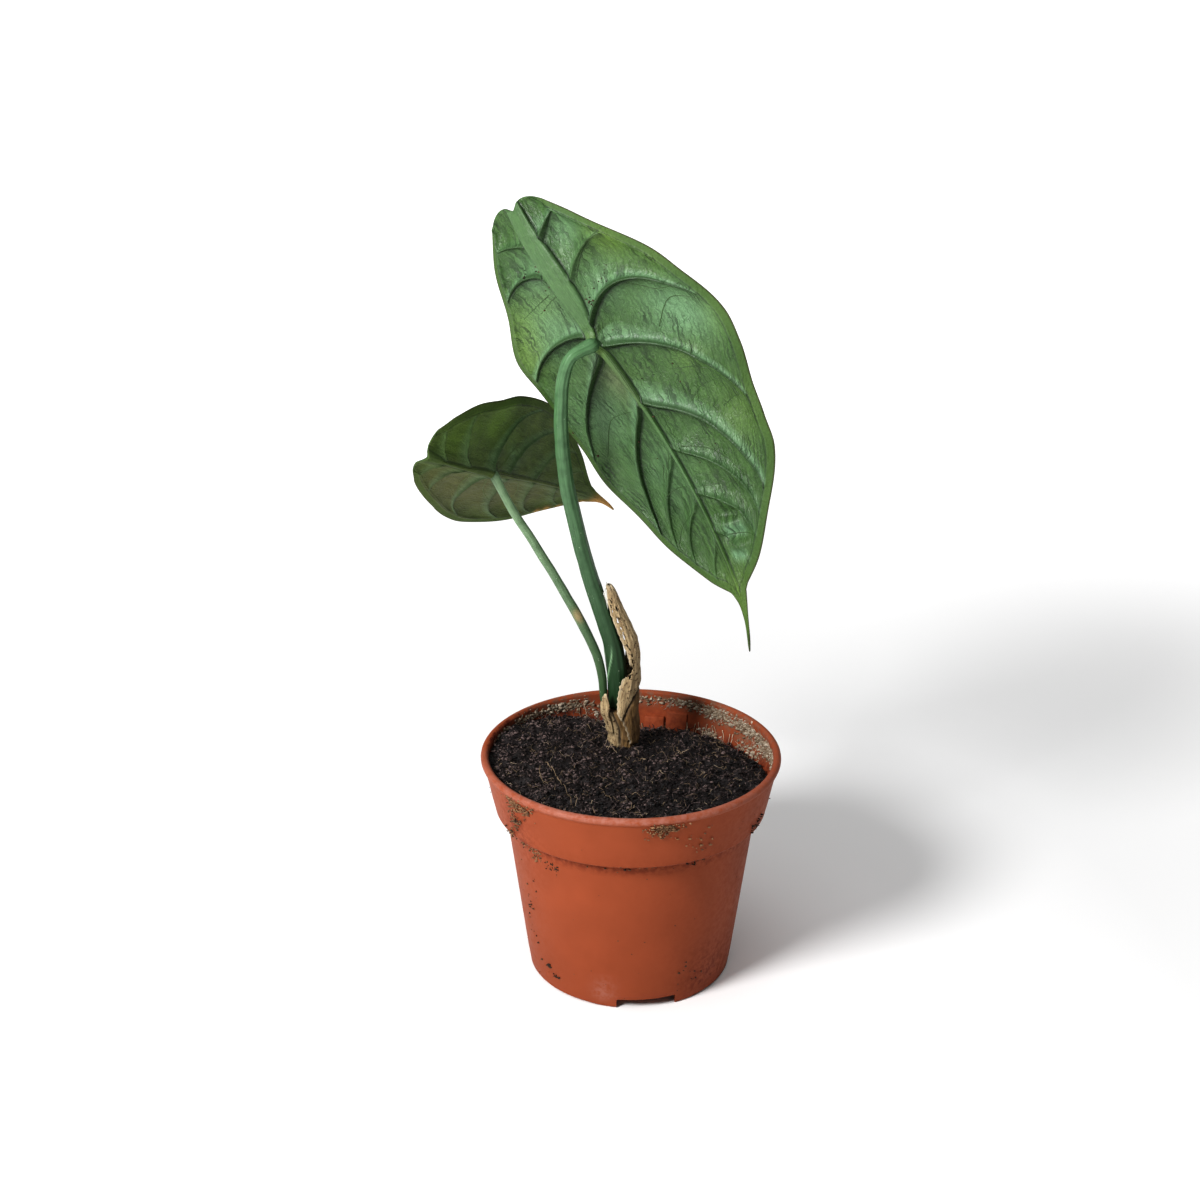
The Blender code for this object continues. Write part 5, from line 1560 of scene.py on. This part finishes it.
def build_blade(name, leaf, patches, material, replaced):
    """A quilted blade with ribs, a rolled margin and a drip tip, thin and closed all round."""
    last = len(leaf.veins_left)
    ease = [0.4 * k / PANEL_ROWS + 0.3 * (1 - math.cos(math.pi * k / PANEL_ROWS))
            for k in range(PANEL_ROWS)]
    rows = [-1.0 + k / LOBE_ROWS for k in range(LOBE_ROWS)]
    rows += [k + e for k in range(last) for e in ease]
    rows += [last + (k / TIP_ROWS) ** 1.3 for k in range(TIP_ROWS + 1)]
    half = AXIS_COLUMNS + LAMINA_COLUMNS + MARGIN_COLUMNS
    bm = bmesh.new()
    layer = {key: bm.verts.layers.float.new(key) for key in ("rise", "depth") + BLADE_MASKS}
    flat = bm.verts.layers.float_vector.new("flat")
    weave = bm.verts.layers.float_vector.new("weave")
    sheet = grid_sheet(bm, len(rows) - 1, 2 * half)
    lines = {(side, k): half_row(leaf, side, k) for side in (-1, 1) for k in range(-1, last + 1)}
    for i, v in enumerate(rows):
        for side in (-1, 1):
            points = half_row(leaf, side, v)
            k = min(math.floor(v), last - 1)
            run = 0.0
            for number, place in enumerate(points):
                vert = sheet[i, half + side * number]
                gap = 0.85 * (lines[side, k + 1][number] - lines[side, k][number]).length
                if number > AXIS_COLUMNS:
                    run += (place - points[number - 1]).length
                marks = shape_point(leaf, side, v, points, number, gap)
                for key in ("warm", "dull", "silver_and_sheen", "burnt"):
                    marks[key] = blotch(place, getattr(patches, key))
                for key, value in marks.items():
                    vert[layer[key]] = value
                vert.co = (place.x, place.y, 0.0)
                vert[flat] = (place.x, place.y, 0.0)
                vert[weave] = (run, gap * (0.5 - abs(v % 1.0 - 0.5)), 0.0)
    bmesh.ops.remove_doubles(bm, verts=bm.verts, dist=0.015)
    bmesh.ops.triangulate(bm, faces=bm.faces)
    for vert in bm.verts:
        vert.co.z = vert[layer["rise"]]
    grown = bmesh.ops.extrude_face_region(bm, geom=bm.faces[:], use_keep_orig=True)
    for vert in grown_verts(grown):
        vert.co.z -= vert[layer["depth"]]
        vert[layer["below"]] = 1.0
    turn = leaf_turn(leaf)
    for vert in bm.verts:
        vert.co = turn @ leaf_form(leaf, vert.co) + Vector(leaf.seat)
    bmesh.ops.recalc_face_normals(bm, faces=bm.faces)
    lookup = Underside(bm, flat, layer["below"])
    new_piece(name, bm, material, (replaced,))
    return lookup


class Underside:
    """Finds places on a blade's finished underside from places on the flat leaf."""

    def __init__(self, bm, flat, below):
        self.flat = []
        self.spots = []
        self.faces = []
        number = {}
        for face in bm.faces:
            if all(vert[below] for vert in face.verts):
                for vert in face.verts:
                    if vert not in number:
                        number[vert] = len(self.flat)
                        self.flat.append(vert[flat].copy())
                        self.spots.append(vert.co.copy())
                self.faces.append([number[vert] for vert in face.verts])
        self.tree = BVHTree.FromPolygons(self.flat, self.faces)

    def at(self, x, y, proud=0.0):
        """The point over a place on the flat leaf, standing proud of the surface."""
        hit, _, index, _ = self.tree.find_nearest(Vector((x, y, 0.0)))
        flat = [self.flat[k] for k in self.faces[index]]
        spots = [self.spots[k] for k in self.faces[index]]
        out = (spots[1] - spots[0]).cross(spots[2] - spots[0]).normalized()
        return barycentric_transform(hit, *flat, *spots) + proud * out


def shape_point(leaf, side, v, points, number, gap):
    """Heights, distances and colour masks at one point of a row of the blade."""
    last = len(leaf.veins_left)
    place = points[number]
    width = half_width(leaf, side, points[-1].x)
    share = clamp((number - AXIS_COLUMNS) / LAMINA_COLUMNS)
    toward = clamp(number / AXIS_COLUMNS)
    out = min(abs(place.y) / max(width, 0.1), 1.0)
    wave = leaf.wave * math.sin(place.x / WAVE_LENGTH * math.tau + side) * out ** 3
    inside = 0.0 < share < 1.0 and -1 < v < last
    between = abs(math.sin(math.pi * v)) if inside else 0.0
    arch = math.sin(math.pi * share) ** 0.7 if inside else 0.0
    rise = wave + leaf.quilt * between ** 0.5 * arch * min(1.0, width / 22.0)
    spot = Vector((place.x, place.y, side))
    pucker = 0.34 * noise.noise(spot / 7.0) + 0.2 * noise.noise(spot / 2.8)
    if side < 0:
        ripple = swell(place.x - RIPPLE_MIDDLE[0], RIPPLE_REACH[0])
        ripple *= swell(place.y - RIPPLE_MIDDLE[1], RIPPLE_REACH[1])
        turns = (place.x + 0.3 * place.y - RIPPLE_START) / RIPPLE_LENGTH
        pucker += RIPPLE_HEIGHT * ripple * math.cos(math.tau * turns)
    pucker *= min(1.0, width / 15.0) * arch ** 0.5
    ridge, near = side_veins(leaf, side, v, share, gap)
    if toward < 1.0 or number > AXIS_COLUMNS + LAMINA_COLUMNS:
        ridge, near = 0.0, (8.0, 0.0, 0.5)
    axis = axis_rib(leaf, side, place, toward)
    edge = (toward - 1.0) * axis_width(leaf, side, place.x)
    if toward >= 1.0:
        edge = (place - points[AXIS_COLUMNS]).length
    if place.x > leaf.front:
        axis = 0.4 * (1.0 - toward)
    rim = (points[-1] - place).length
    thin = clamp(1.0 - rim / EDGE_INSET)
    edge_vein = swell(rim - EDGE_INSET, 0.8) * (width > 6.0)
    depth = blend(BLADE, 0.3, thin) + max(ridge, axis, 0.3 * leaf.rib * edge_vein)
    ahead = clamp(place.x / 3.0)
    fade = clamp((leaf.front - place.x) / 12.0)
    return {"rise": rise + pucker, "depth": depth, "off": near[0], "force": near[1],
            "after": near[2], "axis": edge, "costa": 1.0 - ahead, "rim": rim,
            "edged": fade * min(leaf.rib, 1.0) * blend(1.0, 0.7 if side > 0 else 1.0, ahead),
            "groove": (side < 0) * ahead * clamp((30.0 - place.x) / 8.0)}


def build_branches(lookup, branches, material, name):
    """Finer veins that stand a little proud of the underside between the ribs."""
    bm = toned_bmesh()
    for branch in branches:
        run = [0.0]
        for a, b in zip(branch, branch[1:]):
            run.append(run[-1] + math.dist(a, b))
        count = max(6, int(run[-1] / 0.7))
        path = []
        for k in range(count + 1):
            s = run[-1] * k / count
            x, y = (smooth([(r, p[axis]) for r, p in zip(run, branch)], s) for axis in (0, 1))
            x += 0.25 * noise.noise(Vector((s / 1.6, y, 1.0)))
            path.append(lookup.at(x, y, -0.02))
        fibre(bm, path, BRANCH_RADIUS, 0.25, 6)
    new_piece(name, bm, material)


def build_leaf_grit(lookup, looks):
    """Black crumbs of peat that were splashed on the underside of the large blade."""
    rng = random.Random(SEED + 4)
    bm = toned_bmesh()
    for x, y, spread, amount in LEAF_GRIT:
        for _ in range(amount):
            size = rng.uniform(*GRIT_SIZE)
            place = lookup.at(rng.gauss(x, 0.6 * spread), rng.gauss(y, 0.6 * spread), 0.3 * size)
            crumb(bm, rng, place, size, rng.uniform(0.0, 0.3))
    grit = toned_matter("splashed_peat", looks.speck, looks.crumb, looks.residue, 0.8)
    new_piece("blade_grit", bm, grit)


# Sizes and colours that a user may change
def paint(name, description, code):
    """A colour property whose default is an sRGB hex value."""
    return FloatVectorProperty(name=name, description=description, subtype="COLOR",
                               default=hex_colour(code))


class PotLooks(bpy.types.PropertyGroup):
    """Colours and smoothness of the nursery pot."""

    sides: IntProperty(name="Sides", description="Faces round the pot", default=192, min=48)
    roughness: FloatProperty(name="Roughness", description="Sheen of the moulded wall",
                             default=0.46, min=0.0, max=1.0, subtype="FACTOR")
    clay: paint("Clay", "Colour of the plastic", "914A2E")
    residue: paint("Residue", "Dried peat dust", "8F7F6B")
    residue_pale: paint("Pale residue", "Bleached fibres", "BDB2A2")
    crumb: paint("Crumb", "Brown peat crumbs", "5F4630")
    speck: paint("Speck", "Black peat specks", "1D120C")
    dust: paint("Dust", "Dry brown peat that clings outside", "8E6A4A")
    # Colour of the wet stains, also used for the painted shade under the collar, on the right side and
    # inside the pot
    grime_and_shade: paint("Grime", "Wet stains by the soil", "5C2114")
    # Colour of the rubbed plastic, also used for the painted highlight along the lip
    scuff_and_highlight: paint("Scuff", "Rubbed plastic", "A97A6E")


class PeatLooks(bpy.types.PropertyGroup):
    """Crumb size, fibres and colours of the soil."""

    crumb_spacing: FloatProperty(name="Crumb spacing", description="Millimetres between crumbs",
                                 default=0.93, min=0.5, max=4.0)
    curls: IntProperty(name="Curls", description="Curled shreds of peat", default=1700, min=25)
    fibres: IntProperty(name="Fibres", description="Short fibres on the soil", default=420, min=10)
    peat_dark: paint("Wet peat", "Darkest crumbs", "050304")
    peat_brown: paint("Brown peat", "Most crumbs", "261C1B")
    peat_pale: paint("Dry peat", "Palest crumbs", "8E7A76")
    fibre_dark: paint("Dark fibre", "Old roots", "4A3A2C")
    fibre: paint("Fibre", "Most fibres", "9A8468")
    fibre_pale: paint("Pale fibre", "Fresh root hairs", "E2CDB4")


class LeafLooks(bpy.types.PropertyGroup):
    """Colours and sheen of both blades."""

    roughness: FloatProperty(name="Roughness", description="Sheen of the underside", default=0.42,
                             min=0.0, max=1.0, subtype="FACTOR")
    under: paint("Underside", "Large blade, lit panels", "476535")
    under_dark: paint("Underside, dark", "Large blade, deep tissue", "3A572C")
    upper: paint("Upper side", "Upper side of both blades", "253F1E")
    old: paint("Old underside", "Small blade, lit tissue", "5E7138")
    old_dark: paint("Old underside, dark", "Small blade, deep tissue", "45592A")
    warm: paint("Yellowing", "Yellow-green patches", "688338")
    dull: paint("Dulling", "Large blade, greyish patches", "64704F")
    old_dull: paint("Old dulling", "Small blade, brownish half", "65693F")
    old_roughness: FloatProperty(name="Old roughness", description="Sheen of the small blade",
                                 default=0.62, min=0.0, max=1.0, subtype="FACTOR")
    # Silvering, and the painted sheen on lit panels and on the ripples by the tip
    silver_and_sheen: paint("Silvering", "Silvery patches", "769A76")
    # Colour of the ribs, also used for the painted shade past each rib
    vein: paint("Vein", "Ribs", "29421F")
    # Colour of the fine veins, the edge vein and the painted shade in the creases and the wrinkles'
    # furrows
    crease: paint("Crease", "Dark lines beside the ribs", "14260F")
    margin: paint("Margin", "Olive edge", "3C5620")
    costa: paint("Costa", "Pale band behind the stalk", "4F6C46")
    brink: paint("Brink", "Brownish edge line", "3F3E20")
    burnt: paint("Burnt tip", "Dried leaf tissue", "B98F55")


class StalkLooks(bpy.types.PropertyGroup):
    """Colours of the two stalks."""

    large_top: paint("Large stalk, top", "Blue-green upper part", "567A53")
    large_foot: paint("Large stalk, foot", "Deep green lower part", "1F3A20")
    small_top: paint("Small stalk, top", "Dull light green", "768F6E")
    small_foot: paint("Small stalk, foot", "Deep green foot", "365230")
    fleck: paint("Fleck", "Pale flecks", "A9C0A0")
    edge: paint("Sheath edge", "Pale rim of the living sheath", "8FB38A")
    scar: paint("Scar", "Healed wound", "8C7F5A")


class PaperLooks(bpy.types.PropertyGroup):
    """Colours of the corm and the dried sheaths."""

    tan_pale: paint("Pale tan", "Dry fibres", "D2BC93")
    tan_dark: paint("Dark tan", "Between the fibres", "775D3C")
    spot: paint("Spots", "Brown spots", "4C3621")
    corm: paint("Corm", "Golden brown skin", "9A7A4B")
    torn: paint("Torn edge", "Bleached edges", "D9CCB2")
    # Colour of the painted shade in the seam, the scars, the crease under the dried sheath and its inner
    # face
    crevice_shade: paint("Crevice", "Dark creases", "21160D")
    film: paint("Film", "Whitish membrane", "DCDCD6")


class StageLooks(bpy.types.PropertyGroup):
    """Camera and light."""

    lens: FloatProperty(name="Lens", description="Focal length in millimetres on a 36 mm sensor",
                        default=54.0, min=10.0)
    key: FloatProperty(name="Key light", description="Power of the near softbox in watts",
                       default=7.7, min=0.0)
    key_size: FloatProperty(name="Key size", description="Width of the softbox", default=0.24,
                            min=0.01, unit="LENGTH")
    roof: FloatProperty(name="Overhead light", description="Strength of the wide light above",
                        default=1.38, min=0.0)
    fill: FloatProperty(name="Fill light", description="Strength of the surrounding light",
                        default=0.15, min=0.0)
    table: FloatProperty(name="Table light", description="Glow of the table away from the plant",
                         default=0.75, min=0.0)
    gamma: FloatProperty(name="Gamma", description="Display gamma; below one deepens the shade",
                         default=0.85, min=0.2, max=2.0)
    card: paint("Card", "Colour of the floor", "F6F6F6")


LOOKS = {"alocasia_pot": PotLooks, "alocasia_peat": PeatLooks, "alocasia_leaf": LeafLooks,
         "alocasia_stalk": StalkLooks, "alocasia_paper": PaperLooks, "alocasia_stage": StageLooks}


# Operators
class AddPot(bpy.types.Operator):
    """Add the nursery pot with the dirt that clings to it."""

    bl_idname = "alocasia.pot"
    bl_label = "Nursery pot"

    def execute(self, context):
        build_pot(context.scene.alocasia_pot)
        build_pot_dirt(context.scene.alocasia_pot)
        return {"FINISHED"}


class AddSoil(bpy.types.Operator):
    """Add the peat, its loose crumbs and its fibres."""

    bl_idname = "alocasia.soil"
    bl_label = "Peat soil"

    def execute(self, context):
        build_soil(context.scene.alocasia_peat)
        return {"FINISHED"}


class AddNeck(bpy.types.Operator):
    """Add the corm's papery neck and the dried leaf sheaths."""

    bl_idname = "alocasia.neck"
    bl_label = "Papery neck"

    def execute(self, context):
        build_corm(context.scene.alocasia_paper)
        build_papers(context.scene.alocasia_paper)
        return {"FINISHED"}


class AddStalks(bpy.types.Operator):
    """Add the stalks of both leaves."""

    bl_idname = "alocasia.stalks"
    bl_label = "Stalks"

    def execute(self, context):
        looks = context.scene.alocasia_stalk
        large = stalk_cuticle("large_stalk_cuticle", looks, looks.large_top, looks.large_foot)
        small = stalk_cuticle("small_stalk_cuticle", looks, looks.small_top, looks.small_foot)
        build_stalk("large_stalk", STALK_LARGE, LARGE, 96, SHEATH_EDGES, None, large,
                    "petiole_large")
        build_stalk("small_stalk", STALK_SMALL, SMALL, 32, (), STALK_SCAR, small,
                    "petiole_small")
        return {"FINISHED"}


class AddBlades(bpy.types.Operator):
    """Add both blades and the grit on the large one."""

    bl_idname = "alocasia.blades"
    bl_label = "Leaf blades"

    def execute(self, context):
        looks = context.scene.alocasia_leaf
        fresh_tints = (looks.under, looks.under_dark, looks.dull, looks.costa, looks.margin)
        old_tints = (looks.old, looks.old_dark, looks.old_dull, looks.old_dark, looks.old_dark)
        fresh = leaf_lamina("fresh_leaf_lamina", looks, fresh_tints, looks.roughness, 0.45, 0.8)
        old = leaf_lamina("old_leaf_lamina", looks, old_tints, looks.old_roughness, 0.3, 0.4)
        large = build_blade("large_blade", LARGE, LARGE_PATCHES, fresh, "blade_large")
        small = build_blade("small_blade", SMALL, SMALL_PATCHES, old, "blade_small")
        rib = toned_matter("fresh_vein_tissue", looks.crease, looks.under, looks.vein, 0.45)
        build_branches(large, LARGE_BRANCHES, rib, "large_blade_branches")
        faint = toned_matter("old_vein_tissue", looks.old_dark, looks.old, looks.old, 0.6)
        build_branches(small, SMALL_BRANCHES, faint, "small_blade_branches")
        build_leaf_grit(large, context.scene.alocasia_pot)
        return {"FINISHED"}


class AddStage(bpy.types.Operator):
    """Add the white floor, the light and the camera at the photograph's view."""

    bl_idname = "alocasia.stage"
    bl_label = "Stage"

    def execute(self, context):
        looks = context.scene.alocasia_stage
        scene = context.scene
        bm = bmesh.new()
        bmesh.ops.create_grid(bm, x_segments=1, y_segments=1, size=15.0)
        mesh = finish_mesh("floor", bm)
        mesh.materials.append(opal_acrylic(looks))
        show("floor", mesh)
        key = bpy.data.lights.new("key", "AREA")
        key.shape = "DISK"
        key.size = looks.key_size
        key.energy = looks.key
        light = show("key", key)
        light.location = AXIS + Vector(KEY_PLACE) * MM
        light.rotation_euler = Vector(KEY_PLACE).to_track_quat("Z", "Y").to_euler()
        roof = bpy.data.lights.new("roof", "SUN")
        roof.energy = looks.roof
        roof.angle = ROOF_WIDTH
        show("roof", roof)
        world = bpy.data.worlds.new("studio")
        world.use_nodes = True
        sky = world.node_tree.nodes["Background"].inputs
        sky["Strength"].default_value = looks.fill
        sky["Color"].default_value = (1.0, 1.0, 1.0, 1.0)
        scene.world = world
        camera = bpy.data.cameras.new("camera")
        camera.lens = looks.lens
        camera.sensor_width = 36.0
        camera.clip_start = 0.01
        camera.clip_end = 100.0
        viewer = show("camera", camera)
        viewer.location = AXIS + Vector(CAMERA_PLACE) * MM
        viewer.rotation_euler = (math.pi / 2 - CAMERA_PITCH, 0.0, CAMERA_TURN)
        scene.camera = viewer
        scene.view_settings.view_transform = "Standard"
        scene.view_settings.gamma = looks.gamma
        return {"FINISHED"}


class StudioPanel(bpy.types.Panel):
    """Lists the pieces and the sizes and colours that shape them."""

    bl_idname = "ALOCASIA_PT_pieces"
    bl_label = "Potted Alocasia"
    bl_space_type = "VIEW_3D"
    bl_region_type = "UI"
    bl_category = "Alocasia"

    def draw(self, context):
        for operator in OPERATORS:
            self.layout.operator(operator.bl_idname)
        for name, group in LOOKS.items():
            box = self.layout.box()
            box.label(text=group.__doc__)
            for key in group.__annotations__:
                box.prop(getattr(context.scene, name), key)


OPERATORS = (AddPot, AddSoil, AddNeck, AddStalks, AddBlades, AddStage)


def register():
    for kind in (*LOOKS.values(), *OPERATORS, StudioPanel):
        bpy.utils.register_class(kind)
    for name, group in LOOKS.items():
        setattr(bpy.types.Scene, name, PointerProperty(type=group))


def unregister():
    for name in LOOKS:
        delattr(bpy.types.Scene, name)
    for kind in (StudioPanel, *OPERATORS, *LOOKS.values()):
        bpy.utils.unregister_class(kind)


def main():
    register()
    bpy.ops.alocasia.pot()
    bpy.ops.alocasia.soil()
    bpy.ops.alocasia.neck()
    bpy.ops.alocasia.stalks()
    bpy.ops.alocasia.blades()
    bpy.ops.alocasia.stage()


if __name__ == "__main__":
    main()
